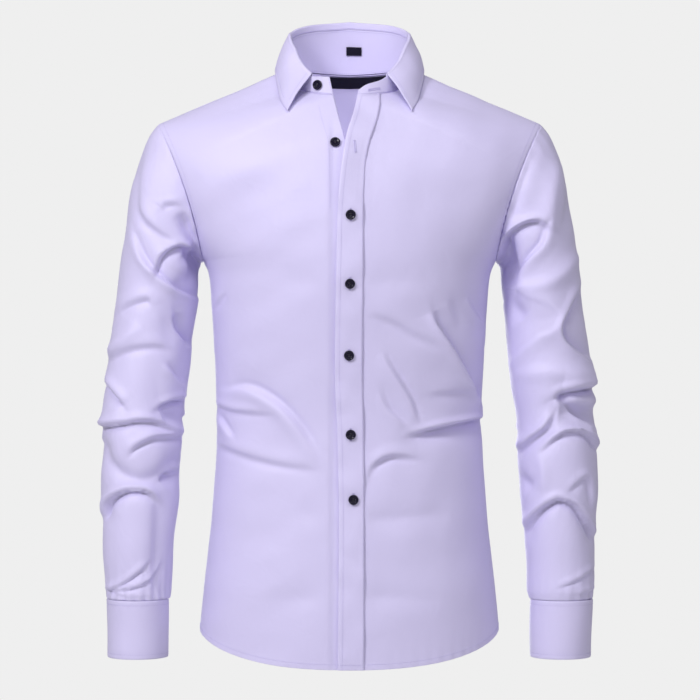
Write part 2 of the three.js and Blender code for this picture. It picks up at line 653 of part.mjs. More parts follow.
const backFade = (q, t) => bodyFade(Math.abs(q), t);
const backSurface = draped(backPoint, -1, BODY_FOLDS, 1, backFade);
const NECK_SHARE = 0.25; // share of the yoke's half width that lies under the collar
const yokeHalf = [
  ...steps(0, NECK_SHARE, STEPS.yokeNeck),
  ...steps(NECK_SHARE, 1, STEPS.yokeShoulder).slice(1),
];
const yokeAcross = [...yokeHalf.slice(1).map((q) => -q).reverse(), ...yokeHalf];
add(
  "back",
  wall({
    point: backSurface,
    us: steps(-1, 1, STEPS.backAcross),
    vs: [...belowRows, ...steps(1, 2, STEPS.backAbove).slice(1)],
    out: -1,
    thick: CLOTH,
    rim: (q, t) => {
      if (Math.abs(q) < 1 || t < 1) return null;
      return armholeRim(Math.sign(q), backAngle(mix(PIT.z, YOKE_Z, t - 1)));
    },
  }),
  SATEEN,
);

// The yoke rises from the back's top row and turns over to the neck seam and the shoulder seams.
function yokeTop(q) {
  const side = Math.sign(q) || 1;
  const share = Math.abs(q);
  if (share <= NECK_SHARE) return neckSeam((side * 90 * share) / NECK_SHARE);
  const along = (share - NECK_SHARE) / (1 - NECK_SHARE);
  return neckSeam(side * 90).lerp(armhole(side, 0), along);
}

function yokePoint(q, t) {
  const low = backPoint(q, 2);
  const high = yokeTop(q);
  const turned = new THREE.Vector3(
    mix(low.x, high.x, 0.4),
    mix(low.y, high.y, 0.24),
    mix(low.z, high.z, 0.72),
  );
  const s = 1 - t;
  const inside = low.multiplyScalar(s * s).addScaledVector(turned, 2 * s * t).addScaledVector(high, t * t);
  const edge = armhole(Math.sign(q) || 1, mix(backAngle(YOKE_Z), 0, t));
  return inside.lerp(edge, smooth(0.6, 1, Math.abs(q)));
}

function yokeRim(q, t) {
  if (Math.abs(q) === 1) return armholeRim(Math.sign(q), mix(backAngle(YOKE_Z), 0, t));
  if (t === 1 && Math.abs(q) >= NECK_SHARE) return shoulderRim(Math.sign(q));
  return null;
}
add(
  "yoke",
  wall({
    point: yokePoint,
    us: yokeAcross,
    vs: steps(0, 1, STEPS.yokeUp),
    out: -1,
    thick: CLOTH,
    rim: yokeRim,
  }),
  SATEEN,
);

// Sleeve, by u round it from the outer side through the front, and v from the armhole to the cuff.
function sleevePoint(side) {
  return (u, v) => {
    const angle = 2 * Math.PI * u;
    const share = (1 + Math.cos(angle)) / 2;
    const bow = ARMHOLE.bow * Math.sin(angle) ** 2 * (1 - smooth(0, 0.3, v));
    const x = mix(sleeve.inX(v), sleeve.outX(v), share) - bow;
    const y = sleeve.y(v) - sleeve.deep(v) * Math.sin(angle);
    return new THREE.Vector3(side * x, y, mix(sleeve.inZ(v), sleeve.outZ(v), share));
  };
}

const sleeveFade = (u, v) => smooth(0, 0.1, v) * (1 - smooth(0.975, 1, v));

function cuffPoint(side) {
  return (u, v) => {
    const angle = 2 * Math.PI * (SLIT_TURN - u);
    const lapped = (DOUBLED + LIFT) * smooth(0.92, 0.99, u);
    const middle = (CUFF.outX + CUFF.inX) / 2 + mix(1.2, 0, v);
    const half = (CUFF.outX - CUFF.inX) / 2 + lapped + mix(0.8, 0, v);
    const y = CUFF.y + mix(2, 0, v) - (CUFF.deep + lapped) * Math.sin(angle);
    return new THREE.Vector3(side * (middle + half * Math.cos(angle)), y, mix(CUFF.top, CUFF.bottom, v));
  };
}

function button(name, place, normal, clear) {
  const { radius, thick, rim, dish, sides } = BUTTON;
  const half = thick / 2;
  const profile = [
    [0, -half],
    [radius - 0.5, -half],
    [radius, -half + 0.6],
    [radius, half - 0.5],
    [radius - 0.5, half],
    [radius - rim, half],
    [radius - rim - 0.7, half - dish],
    [0, half - dish],
  ].map(([r, y]) => new THREE.Vector2(r, y));
  const mesh = add(name, new THREE.LatheGeometry(profile, sides), RESIN);
  mesh.quaternion.setFromUnitVectors(new THREE.Vector3(0, 1, 0), normal);
  mesh.position.copy(place).addScaledVector(normal, clear + half);
  return mesh;
}
const BUTTON_CLEAR = 0.5;

for (const [name, side, folds] of [
  ["right", RIGHT, RIGHT_SLEEVE_FOLDS],
  ["left", LEFT, LEFT_SLEEVE_FOLDS],
]) {
  const sleeveSurface = draped(sleevePoint(side), side, folds, side, sleeveFade);
  const rings = steps(0, 1, STEPS.sleeveRings);
  const around = steps(0, 1, STEPS.sleeveRound).slice(0, -1);
  add(
    "sleeve_" + name,
    wall({
      point: sleeveSurface,
      us: around,
      vs: rings,
      out: side,
      thick: CLOTH,
      round: true,
      rim: (u, v) => (v === 0 ? armholeRim(side, 2 * Math.PI * u) : null),
    }),
    SATEEN,
  );
  const strip = raised(sleeveSurface, side, CLOTH + LIFT);
  const pointed = (u, v) => SLIT_TURN + u * SLIT.half * Math.min(1, 0.15 + (v - SLIT.high) / 0.04);
  add(
    "sleeve_placket_" + name,
    wall({
      point: (u, v) => strip(pointed(u, v), v),
      us: steps(-1, 1, 3),
      vs: [SLIT.high, SLIT.high + 0.034, ...steps(SLIT.high + 0.06, SLIT.low, 6)],
      out: side,
      thick: CLOTH,
    }),
    SATEEN,
  );
  const cuffSurface = cuffPoint(side);
  add(
    "cuff_" + name,
    wall({
      point: cuffSurface,
      us: steps(0, 1 + CUFF_LAP, STEPS.cuffRound),
      vs: steps(0, 1, STEPS.cuffUp),
      out: -side,
      thick: DOUBLED,
    }),
    SATEEN,
  );
  const { round, high } = CUFF_BUTTON;
  const outwards = normalAt(cuffSurface, round, high, -side);
  button("cuff_button_" + name, cuffSurface(round, high), outwards, BUTTON_CLEAR);
}

// Collar stand, by u from its end on the button side to its end on the buttonhole side.
function standPoint(u, v) {
  const slant = (BAND_END.right - BAND_END.rightTop) * v * (1 - smooth(0, 0.06, u));
  const turn = mix(-BAND_END.right, BAND_END.left, u) + slant;
  const top = turn < 0 ? collar.top(-turn) : collar.topLeft(turn);
  const foot = loop(NECK, turn, -STAND_INSET, collar.seam(Math.abs(turn)));
  return foot.lerp(loop(STAND_TOP, turn, 0, top), v);
}
const STAND_OUT = -1;
const standPlace = (turn) => (turn + BAND_END.right) / (BAND_END.left + BAND_END.right);
const seamTurns = [
  -LEAF_END,
  ...steps(-BAND_END.right, -90, STEPS.frontNeck),
  ...steps(-90, 90, 2 * STEPS.yokeNeck).slice(1),
  ...steps(90, BAND_END.left, STEPS.frontNeck).slice(1),
  LEAF_END,
].sort((a, b) => a - b);
add(
  "collar_stand",
  wall({
    point: standPoint,
    us: seamTurns.map(standPlace),
    vs: steps(0, 1, STEPS.standUp),
    out: STAND_OUT,
    thick: DOUBLED,
  }),
  SATEEN,
);

// Collar leaf: it rises from the stand, rolls over and falls to its outer edge. The wall's outer
// face is the one that shows, inside the neck as well as outside.
const LEAF_PROFILE = [0, 0.1, 0.2, 0.3, 0.4, 0.5, 0.66, 0.83, 1];
function leafPoint(u, v) {
  const turn = mix(-LEAF_END, LEAF_END, u);
  const at = Math.abs(turn);
  const fold = collar.fold(at) - ROLL;
  const inset = -DOUBLED;
  if (v <= 0.1) {
    const low = collar.top(at);
    return loop(STAND_TOP, turn, inset, mix(low, Math.max(fold, low + 0.2), v / 0.1));
  }
  if (v <= 0.5) {
    const roll = (Math.PI * (v - 0.1)) / 0.4;
    const out = inset + ROLL * (1 - Math.cos(roll));
    return loop(STAND_TOP, turn, out, fold + ROLL * Math.sin(roll));
  }
  const fall = (v - 0.5) / 0.5;
  const high = loop(STAND_TOP, turn, inset + 2 * ROLL, fold);
  const edge = new THREE.Vector3(Math.sign(turn) * collar.edgeX(at), collar.edgeY(at), collar.edgeZ(at));
  const point = high.lerp(edge, fall);
  const away = new THREE.Vector3(Math.sin(radians(turn)), Math.cos(radians(turn)), 0.3).normalize();
  return point.addScaledVector(away, LEAF_BOW * Math.sin(Math.PI * fall));
}
const leafTurns = seamTurns.filter((turn) => Math.abs(turn) <= LEAF_END);
add(
  "collar_leaf",
  wall({
    point: leafPoint,
    us: leafTurns.map((turn) => (turn + LEAF_END) / (2 * LEAF_END)),
    vs: LEAF_PROFILE,
    out: 1,
    thick: DOUBLED,
  }),
  SATEEN,
);

// Labels, both bare: the main one inside the yoke and the size one inside the stand.
add(
  "label_main",
  wall({
    point: raised(yokePoint, -1, -CLOTH - 2 * LIFT),
    us: steps(MAIN_LABEL.left, MAIN_LABEL.right, STEPS.labelAcross),
    vs: steps(MAIN_LABEL.low, MAIN_LABEL.high, 2),
    out: -1,
    thick: LABEL_CLOTH,
  }),
  TAPE,
);
add(
  "label_size",
  wall({
    point: raised(standPoint, STAND_OUT, -DOUBLED - LIFT),
    us: steps(standPlace(SIZE_LABEL.left), standPlace(SIZE_LABEL.right), 2),
    vs: [SIZE_LABEL.low, SIZE_LABEL.high],
    out: STAND_OUT,
    thick: LABEL_CLOTH,
  }),
  TAPE,
);

function buttonOn(name, point, out, from, x, z) {
  const [u, v] = placeOn(point, from, x, z);
  button(name, point(u, v), normalAt(point, u, v, out), BUTTON_CLEAR);
}
for (const { name, x, z } of PLACKET_BUTTONS) {
  buttonOn(name, placketSurface, LEFT, [STRIP.left / 2, riseOf(z)], x, z);
}
const { name: looseName, x: looseX, z: looseZ } = LOOSE_BUTTON;
buttonOn(looseName, rightFront, RIGHT, [STRIP.right / 2, riseOf(looseZ)], looseX, looseZ);
const bandPlace = standPlace(COLLAR_BUTTON.turn);
const bandNormal = normalAt(standPoint, bandPlace, COLLAR_BUTTON.high, STAND_OUT);
button(COLLAR_BUTTON.name, standPoint(bandPlace, COLLAR_BUTTON.high), bandNormal, BUTTON_CLEAR);

export default shirt;
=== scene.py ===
import math
from copy import copy
from types import SimpleNamespace

import bmesh
import bpy
import numpy as np
from mathutils import Matrix, Vector


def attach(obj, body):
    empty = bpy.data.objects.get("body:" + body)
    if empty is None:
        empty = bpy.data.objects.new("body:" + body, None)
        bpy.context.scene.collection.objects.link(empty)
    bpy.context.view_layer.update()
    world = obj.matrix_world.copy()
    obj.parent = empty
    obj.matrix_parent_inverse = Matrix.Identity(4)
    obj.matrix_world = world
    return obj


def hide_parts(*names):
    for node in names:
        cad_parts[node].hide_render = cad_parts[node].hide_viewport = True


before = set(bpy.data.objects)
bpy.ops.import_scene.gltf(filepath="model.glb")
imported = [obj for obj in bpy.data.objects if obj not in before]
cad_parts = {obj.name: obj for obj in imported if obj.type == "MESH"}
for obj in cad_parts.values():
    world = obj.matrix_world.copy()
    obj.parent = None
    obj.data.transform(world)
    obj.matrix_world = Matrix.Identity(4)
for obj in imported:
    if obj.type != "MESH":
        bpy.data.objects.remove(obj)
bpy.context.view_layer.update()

# Camera: level with the middle of the shirt and square to its front, with a long lens, as in the photograph.
# The photograph is 700 pixels square and takes in 819 mm at the shirt's middle.
MM = 0.001
VIEW_WIDTH = 819 * MM
VIEW_DISTANCE = 3500 * MM
VIEW_CENTRE = (0.6 * MM, -320.6 * MM)
SENSOR = 36

camera_data = bpy.data.cameras.new("camera")
camera_data.sensor_width = SENSOR
camera_data.lens = SENSOR * VIEW_DISTANCE / VIEW_WIDTH
camera_data.clip_end = 30
camera = bpy.data.objects.new("camera", camera_data)
camera.location = (VIEW_CENTRE[0], -VIEW_DISTANCE, VIEW_CENTRE[1])
camera.rotation_euler = (math.radians(90), 0, 0)
bpy.context.scene.collection.objects.link(camera)
bpy.context.scene.camera = camera

# Left front: the wearer's left half of the front, the side with the buttonholes. Lavender cotton sateen,
# one layer, cut in one from the shoulder to the curved hem and turned under at its free edge.
# The sizes are in millimetres, as on the pattern: the body at each height, how a row of it runs from
# the middle to its outer end, the line of the opening, the armhole and the neck.
CLOTH = 1.2
BODY = dict(
    z=(
        -700, -645, -600, -560, -520, -480, -445, -402, -356, -314, -271, -243, -229, -217, -170, -130, -95,
        -60, -27,
    ),
    half=(
        176, 174.5, 170.5, 166, 161.5, 158.5, 156, 155, 156.5, 158.5, 161, 163, 165, 170.5, 172, 172, 172,
        172, 172,
    ),
    front=(
        -117, -117, -115.5, -113, -110, -107, -105, -104, -108, -113, -118, -120.5, -121, -121, -118.5,
        -112.5, -103, -88, -67,
    ),
    back=(107, 107, 104, 99, 92, 84, 78, 75, 79, 87, 94, 98, 100, 101, 103, 101, 97, 89, 76),
)
ROWS = dict(
    rise=(0, 0.3, 0.6, 0.8, 1),
    near_x=(0.6, 0.55, 0.4, 0.35, 0.3333),
    near_y=(0, 0, 0, 0.2, 0.3333),
    far_x=(1, 0.93, 0.8, 0.7, 0.6667),
    far_y=(0.4, 0.45, 0.55, 0.65, 0.6667),
    swell=(0, 5, 25, 16, 0),
)
OPENING = dict(
    z=(-690, -510, -421, -344, -208, -160, -108, -76, -50, -28),
    edge=(-13.5, -12.2, -13.8, -16.6, -14.7, -13.3, -8.5, -2.8, 4.5, 9.3),
    seam=(16.8, 16.8, 16.4, 15, 16, 16, 17.8, 22.8, 28.5, 33.8),
    under=(8, 8, 8, 7, 8, 8, 3, -5, -12.5, -18.3),
    stand=(-23, -23, -23, -23, -23, -23, -23.3, -24.5, -30, -35.5),
)
HEM = dict(front=-683, back=-690, side=-645)
SIDE_SEAM_Y = 3
TIP = SimpleNamespace(x=224, z=-57)
PIT = SimpleNamespace(x=170.5, z=-217)
ARMHOLE = SimpleNamespace(y=4, deep=62, bow=8)
NECK_RISE = 0.6
BLEND_RISE = 0.44
NECK_FRONT_Z = -28
NECK = SimpleNamespace(half=68, y=-4, back=62, front=62)
NECK_SEAM = dict(
    turn=(0, 37, 60, 75, 90, 105, 115, 124, 134, 142, 150, 164, 173),
    height=(6, 7.5, 9, 10, 9, -4, -14, -20.5, -23, -24.5, -26, -27.5, -28),
)
BAND_END = SimpleNamespace(right=164, right_top=160.5, left=172)
STRIP = SimpleNamespace(left=0.115, right=0.085)
RIGHT, LEFT = -1, 1
STEP = 1e-3

# The creases, each along a path of x and z. At a drop the cloth on the left of the path's way stands higher
# than on its right, or lower below 0, with a turn as tight as sharp. Deep is below 0 for a trough. Start and
# end say how much of its size a crease keeps at its two ends.
BODY_FOLDS = dict(
    front=[
        dict(wide=13, deep=-3, path=[(-78, -243), (103, -243)]),
        dict(wide=12, drop=3.5, sharp=4, path=[(14, -277), (48, -288), (74, -303), (102, -315)]),
        dict(wide=12, drop=-4.5, sharp=2, start=0.1, end=0.6,
             path=[(39, -323), (46, -337), (57, -354), (71, -377), (76, -391)]),
        dict(wide=9, drop=-4, path=[(36, -368), (43, -384), (55, -397), (64, -405)]),
        dict(wide=15, drop=-11, sharp=2, start=0.1, end=0.8,
             path=[(96, -277), (102, -292), (119, -320), (136, -349), (150, -375)]),
        dict(wide=9, drop=-3, sharp=4, path=[(114, -264), (127, -292)]),
        dict(wide=8, drop=-4, end=0.8, path=[(136, -261), (152, -284)]),
        dict(wide=10, drop=3, sharp=4, end=0.8, path=[(91, -371), (142, -368)]),
        dict(wide=12, drop=12, deep=-4, sharp=1.6, start=0.5, end=1,
             path=[(80, -415), (102, -410), (131, -405), (150, -402)]),
        dict(wide=11, drop=6, sharp=2.5, start=0.4, path=[(17, -475), (27, -453), (47, -442), (77, -444)]),
        dict(wide=15, drop=-8, sharp=3,
             path=[(-137, -365), (-118, -363), (-96, -372), (-73, -389), (-50, -417), (-24, -456)]),
        dict(wide=8, drop=4, sharp=2, start=1, path=[(-150, -386), (-132, -391), (-93, -394)]),
        dict(wide=7, drop=-4, start=1, path=[(-149, -401), (-135, -421)]),
        dict(wide=6, drop=3, start=0.8, path=[(-154, -268), (-144, -255)]),
        dict(wide=11, drop=4, sharp=3.5, start=0.8,
             path=[(-143, -434), (-114, -443), (-76, -451), (-33, -456)]),
        dict(wide=12, deep=-3.5, path=[(-58, -507), (40, -512), (116, -507)]),
        dict(wide=12, deep=-3.5, path=[(-97, -605), (20, -600), (106, -606)]),
    ],
    back=[
        dict(wide=12, drop=6, sharp=2.5, start=0.8, path=[(-150, -330), (-100, -366), (-46, -384)]),
        dict(wide=11, drop=-6, sharp=2.5, start=0.8, path=[(152, -318), (108, -352), (60, -374)]),
        dict(wide=11, drop=7, sharp=2, start=1, path=[(-150, -404), (-96, -420), (-22, -418)]),
        dict(wide=11, drop=-6, sharp=2.5, start=0.9, path=[(150, -398), (98, -426), (34, -436)]),
        dict(wide=13, deep=-5, path=[(-120, -476), (-30, -496), (70, -486)]),
        dict(wide=10, drop=5, sharp=3, start=0.6, path=[(-154, -232), (-118, -262), (-96, -310)]),
        dict(wide=10, drop=-5, sharp=3, start=0.7, path=[(156, -228), (124, -266), (104, -300)]),
        dict(wide=12, deep=-4, path=[(-96, -590), (20, -604), (118, -584)]),
    ],
)


def mix(a, b, t):
    return a + (b - a) * t


def smooth(low, high, value):
    t = np.clip((value - low) / (high - low), 0, 1)
    return t * t * (3 - 2 * t)


def curve(keys, values):
    """A column of a table as a smooth curve that doesn't swing past its rows."""
    keys, values = np.array(keys, float), np.array(values, float)
    secants = np.diff(values) / np.diff(keys)
    before, after = secants[:-1], secants[1:]
    alike = before * after > 0
    total = np.where(alike, before + after, 1)
    slopes = np.concatenate([secants[:1], np.where(alike, 2 * before * after / total, 0), secants[-1:]])

    def at(where):
        where = np.asarray(where, float)
        i = np.clip(np.searchsorted(keys, where, side="right") - 1, 0, len(keys) - 2)
        span = keys[i + 1] - keys[i]
        t = (where - keys[i]) / span
        s = 1 - t
        start = values[i] * (1 + 2 * t) * s * s + slopes[i] * span * t * s * s
        end = values[i + 1] * t * t * (3 - 2 * t) - slopes[i + 1] * span * t * t * s
        return start + end

    return at


def columns(table):
    """The columns of a table as curves over its first one."""
    keys, *names = table
    return SimpleNamespace(**{name: curve(table[keys], table[name]) for name in names})


body = columns(BODY)
rows_of = columns(ROWS)
opening = columns(OPENING)
neck_height = columns(NECK_SEAM).height


def cubic(a, b, c, d, t):
    s = 1 - t
    return a * s * s * s + 3 * b * s * s * t + 3 * c * s * t * t + d * t * t * t


def points(x, y, z):
    return np.stack(np.broadcast_arrays(np.asarray(x, float), y, z), axis=-1)


def shape_at(rise):
    at = np.maximum(0, rise)
    values = {name: getattr(rows_of, name)(at) for name in ("near_x", "near_y", "far_x", "far_y")}
    return SimpleNamespace(swell=np.where(rise > 0, rows_of.swell(at), 0), **values)


def place_of(shape, share):
    """How far along its curve a row has gone when it has covered a share of its width."""
    q = share / (3 * shape.near_x)
    for _ in range(4):
        ahead = cubic(0, shape.near_x, shape.far_x, 1, q + STEP)
        behind = cubic(0, shape.near_x, shape.far_x, 1, q - STEP)
        q = q - ((ahead + behind) / 2 - share) * 2 * STEP / (ahead - behind)
    return q


def along_row(near, far, shape, swell_way, q):
    """Places on a row from near to far, with its curve in y and its swell in the middle."""
    low = mix(near, far, points(shape.near_x, shape.near_y, shape.near_x))
    high = mix(near, far, points(shape.far_x, shape.far_y, shape.far_x))
    swell = points(0, shape.swell * swell_way, 0)
    return cubic(near, low + swell, high + swell, far, np.asarray(q)[..., None])


def armhole(side, angle):
    """The armhole seam: angle 0 at the tip of the shoulder, half a turn at the armpit, the front between."""
    share = (1 + np.cos(angle)) / 2
    x = mix(PIT.x, TIP.x, share) - ARMHOLE.bow * np.sin(angle) ** 2
    return points(side * x, ARMHOLE.y - ARMHOLE.deep * np.sin(angle), mix(PIT.z, TIP.z, share))


def loop(size, turn, outwards, z):
    """A place round the neck: turn 0 at the middle of the back, 90 over the left shoulder."""
    turn = np.radians(turn)
    reach = np.where(np.cos(turn) > 0, size.back, size.front) + outwards
    return points((size.half + outwards) * np.sin(turn), size.y + reach * np.cos(turn), z)


def neck_seam(turn):
    return loop(NECK, turn, 0, neck_height(np.abs(turn)))


def lower_point(side, face, q, t):
    s = np.minimum(1, np.abs(q))
    hem = mix(HEM[face], HEM["side"], s * s * (1 + 1.15 * s * (1 - s)))
    z = mix(hem, PIT.z, t)
    near = points(0 * z, getattr(body, face)(z), z)
    far = points(side * body.half(z), SIDE_SEAM_Y, z)
    return along_row(near, far, shape_at(0 * z), 0, q)


def front(side, edge, seam, strip, corner):
    """A front by u, from inner edge to side, and t: 0 at the hem, 1 at the armpit, 2 at the shoulder."""

    def place_along(shape, width, z, u):
        stitched = place_of(shape, seam(z) / width)
        free = place_of(shape, edge(z) / width)
        outer = mix(stitched, 1, (u - strip) / (1 - strip))
        return np.where(u > strip, outer, mix(free, stitched, u / strip))

    def point(u, t):
        below = np.minimum(t, 1)
        z = mix(HEM["front"], PIT.z, below)
        place = place_along(shape_at(0 * z), side * body.half(z), z, u)
        low = lower_point(side, "front", place, below)

        rise = np.maximum(t - 1, 1e-6)
        shape = shape_at(rise)
        far = armhole(side, math.pi * (1 - rise))
        blend = smooth(BLEND_RISE, NECK_RISE, rise)
        z = mix(PIT.z, NECK_FRONT_Z, np.minimum(rise, NECK_RISE) / NECK_RISE)
        near = points(0 * z, body.front(z), z)
        chest = along_row(near, far, shape, -1, place_along(shape, far[..., 0], z, u))

        turn = mix(corner, 90, (rise - NECK_RISE) / (1 - NECK_RISE))
        start = neck_seam(side * np.minimum(corner, turn))
        along = np.clip((rise - BLEND_RISE) / (NECK_RISE - BLEND_RISE), 0, 1)
        low_y = body.front(mix(PIT.z, NECK_FRONT_Z, BLEND_RISE / NECK_RISE))
        opened = points(edge(z), mix(low_y, start[..., 1], along), z)
        start = np.where((along < 1)[..., None], opened, start)
        shoulder = along_row(start, far, shape, -1, u)
        high = mix(chest, shoulder, blend[..., None])
        return np.where((t <= 1)[..., None], low, high)

    return point


def normals_of(grid, out, ring):
    if ring:
        across = np.roll(grid, -1, axis=1) - np.roll(grid, 1, axis=1)
    else:
        across = np.gradient(grid, axis=1)
    normal = np.cross(across, np.gradient(grid, axis=0)) * out
    return normal / np.maximum(np.linalg.norm(normal, axis=-1, keepdims=True), 1e-9)


CREST = 1.5
LIP = SimpleNamespace(roll=0.22, roll_at=2.6, crevice=0.3, crevice_at=0.8, crevice_wide=1.4, past=0.6)
SEEN_FROM, SEEN_FULL = -0.25, 0.45


def rounded(path, each=7):
    """The few points of a crease as a smooth line through them."""
    ends = np.array([path[0], *path, path[-1]], float)
    line = []
    for before, start, end, after in zip(ends, ends[1:], ends[2:], ends[3:]):
        bends = start + (end - before) / 6, end - (after - start) / 6
        line += [cubic(start, *bends, end, t) for t in np.arange(each) / each]
    return np.array([*line, ends[-1]])


def fold_shape(away, aside, wide, deep=0, drop=0, sharp=1.8):
    """A crease's height by how far a place is from its line, and how far to the left of the line's way."""
    bed = (np.hypot(away, CREST) - CREST) / wide
    high = aside * np.sign(drop)
    past_end = np.maximum(0, away**2 - aside**2)
    step = np.tanh(high / sharp) * np.exp(-((away / wide) ** 1.4))
    roll = np.exp(-(((high - LIP.roll_at * sharp) / (LIP.roll_at * sharp)) ** 2))
    crevice = np.exp(-(((high + LIP.crevice_at * sharp) / (LIP.crevice_wide * sharp)) ** 2))
    lips = (LIP.roll * roll - LIP.crevice * crevice) * np.exp(-past_end / (LIP.past * wide) ** 2)
    return deep * np.exp(-(bed**1.5)) + abs(drop) * (step / 2 + lips)


def fold_height(x, z, path, start=0.2, end=0.2, **sizes):
    """Height of one crease at each place."""
    line = rounded(path)
    away = np.full(x.shape, 1e9)
    along, aside = np.zeros_like(x), np.zeros_like(x)
    for i, (first, last) in enumerate(zip(line, line[1:])):
        way = last - first
        from_x, from_z = x - first[0], z - first[1]
        t = np.clip((from_x * way[0] + from_z * way[1]) / (way @ way), 0, 1)
        here = np.hypot(from_x - t * way[0], from_z - t * way[1])
        nearer = here < away
        along = np.where(nearer, (i + t) / (len(line) - 1), along)
        aside = np.where(nearer, (way[0] * from_z - way[1] * from_x) / np.hypot(*way), aside)
        away = np.minimum(here, away)
    ends = np.where(along < 0.5, start, end)
    return fold_shape(away, aside, **sizes) * mix(ends, 1, np.sin(math.pi * along))


def unevenness(x, z, seed, size=0.5, low=38, high=120, waves=9):
    """The slight wander of a pressed shirt's cloth between its creases."""
    dice = np.random.default_rng(seed)
    height = np.zeros_like(x)
    for _ in range(waves):
        length, turn, phase = dice.uniform(low, high), dice.uniform(0, math.pi), dice.uniform(0, 2 * math.pi)
        wave = (x * math.cos(turn) + z * math.sin(turn)) * 2 * math.pi / length
        height += size * dice.uniform(0.3, 1) * np.sin(wave + phase) * length / high
    return height


def edge_distances(grid):
    """How far each place lies along the cloth from the left, right, low and high edges, in millimetres."""
    across = np.linalg.norm(np.diff(grid, axis=1), axis=-1).cumsum(axis=1)
    up = np.linalg.norm(np.diff(grid, axis=0), axis=-1).cumsum(axis=0)
    left = np.concatenate([np.zeros((grid.shape[0], 1)), across], axis=1)
    low = np.concatenate([np.zeros((1, grid.shape[1])), up], axis=0)
    return left, left[:, -1:] - left, low, low[-1:] - low


def puckered(away, along, seed, deep=0.45, wave=9.0, reach=8.0):
    """The small waves that a row of stitches draws into the cloth beside a seam."""
    dice = np.random.default_rng(seed)
    strength = 0.55 + 0.45 * np.sin(along / dice.uniform(31, 47) + dice.uniform(0, 6))
    ripple = np.sin(along * 2 * math.pi / wave + 1.6 * np.sin(along / 23 + dice.uniform(0, 6)))
    return deep * strength * ripple * np.exp(-away / reach)


def sunk_edge(away, deep=0.5, reach=1.1):
    return -deep * np.exp(-((away / reach) ** 2))


class Panel:
    """A cut of cloth as a grid of places on its outer face, with their normals."""

    def __init__(self, surface, us, vs, out, ring=False):
        u, v = np.meshgrid(us, vs)
        self.u, self.v, self.out, self.ring = u, v, out, ring
        self.grid = surface(u, v)
        self.settle()

    def settle(self):
        self.normals = normals_of(self.grid, self.out, self.ring)
        self.left, self.right, self.low, self.high = edge_distances(self.grid)

    def raise_by(self, height):
        self.grid = self.grid + self.normals * height[..., None]
        self.settle()

    def crease(self, folds, side, fade=1.0):
        x, z = self.grid[..., 0] * side, self.grid[..., 2]
        height = np.zeros_like(x)
        for face, way in (("front", -1), ("back", 1)):
            seen = smooth(SEEN_FROM, SEEN_FULL, way * self.normals[..., 1])
            for fold in folds[face]:
                height += fold_height(x, z, **fold) * seen
        self.raise_by(height * fade)

    def ease(self, near, axis, passes, keep=14):
        """Round off a bend between rows, or columns for axis 1, where near is 1, short of the edges."""
        soft = np.moveaxis(self.grid, axis, 0).copy()
        for _ in range(passes):
            soft[1:-1] = (soft[:-2] + 2 * soft[1:-1] + soft[2:]) / 4
        ends = (self.low, self.high) if axis else (self.left, self.right)
        share = near * smooth(1, keep, np.minimum(*ends))
        self.grid = mix(self.grid, np.moveaxis(soft, 0, axis), share[..., None])
        self.settle()

    def at(self, u, v):
        """The place and normal at u and v, which may be arrays."""
        us, vs = self.u[0], self.v[:, 0]
        i = np.interp(u, us, np.arange(len(us)))
        j = np.interp(v, vs, np.arange(len(vs)))
        i0 = np.clip(np.floor(i).astype(int), 0, len(us) - 2)
        j0 = np.clip(np.floor(j).astype(int), 0, len(vs) - 2)
        a, b = (i - i0)[..., None], (j - j0)[..., None]
        found = []
        for layer in (self.grid, self.normals):
            low = mix(layer[j0, i0], layer[j0, i0 + 1], a)
            found.append(mix(low, mix(layer[j0 + 1, i0], layer[j0 + 1, i0 + 1], a), b))
        return found[0], found[1] / np.linalg.norm(found[1], axis=-1, keepdims=True)

    def near(self, x, z):
        """The u and v of the grid's place nearest to x and z, as seen from the front."""
        far = np.hypot(self.grid[..., 0] - x, self.grid[..., 2] - z) + 2.0 * (self.normals[..., 1] > 0.2)
        j, i = np.unravel_index(np.argmin(far), far.shape)
        return self.u[j, i], self.v[j, i]


def new_mesh(name, places, faces):
    mesh = bpy.data.meshes.new(name)
    mesh.from_pydata(places, [], faces)
    mesh.shade_smooth()
    return mesh


def cloth_mesh(name, panel, thick):
    """A panel as a closed shell: the outer face, the inner face moved in by its thickness, and the rims."""
    up, across = panel.grid.shape[:2]
    inner = panel.grid - panel.normals * np.broadcast_to(thick, panel.u.shape)[..., None]
    places = np.concatenate([panel.grid.reshape(-1, 3), inner.reshape(-1, 3)]) * MM
    number = np.arange(up * across).reshape(up, across)
    if panel.ring:
        number = np.concatenate([number, number[:, :1]], axis=1)
    a, b, c, d = number[:-1, :-1], number[:-1, 1:], number[1:, 1:], number[1:, :-1]
    under = up * across
    outer_faces = np.stack([a, b, c, d], axis=-1).reshape(-1, 4)
    inner_faces = np.stack([d, c, b, a], axis=-1).reshape(-1, 4) + under
    rims = [(number[0, 1:], number[0, :-1]), (number[-1, :-1], number[-1, 1:])]
    if not panel.ring:
        rims += [(number[:-1, 0], number[1:, 0]), (number[1:, -1], number[:-1, -1])]
    strips = [np.stack([p, q, q + under, p + under], axis=-1) for p, q in rims]
    faces = np.concatenate([outer_faces, inner_faces, *strips])
    if panel.out < 0:
        faces = faces[:, ::-1]
    mesh = new_mesh(name, places, faces)

    # The weave's own coordinates run along the cloth's threads, in metres.
    flat_x = panel.left - panel.left[:, -1:] / 2
    flat = np.stack([flat_x, np.broadcast_to(panel.low, flat_x.shape)], axis=-1).reshape(-1, 2) * MM
    threads = mesh.uv_layers.new(name="threads")
    corners = np.empty(len(mesh.loops), int)
    mesh.loops.foreach_get("vertex_index", corners)
    threads.data.foreach_set("uv", np.concatenate([flat, flat])[corners].ravel())
    return mesh


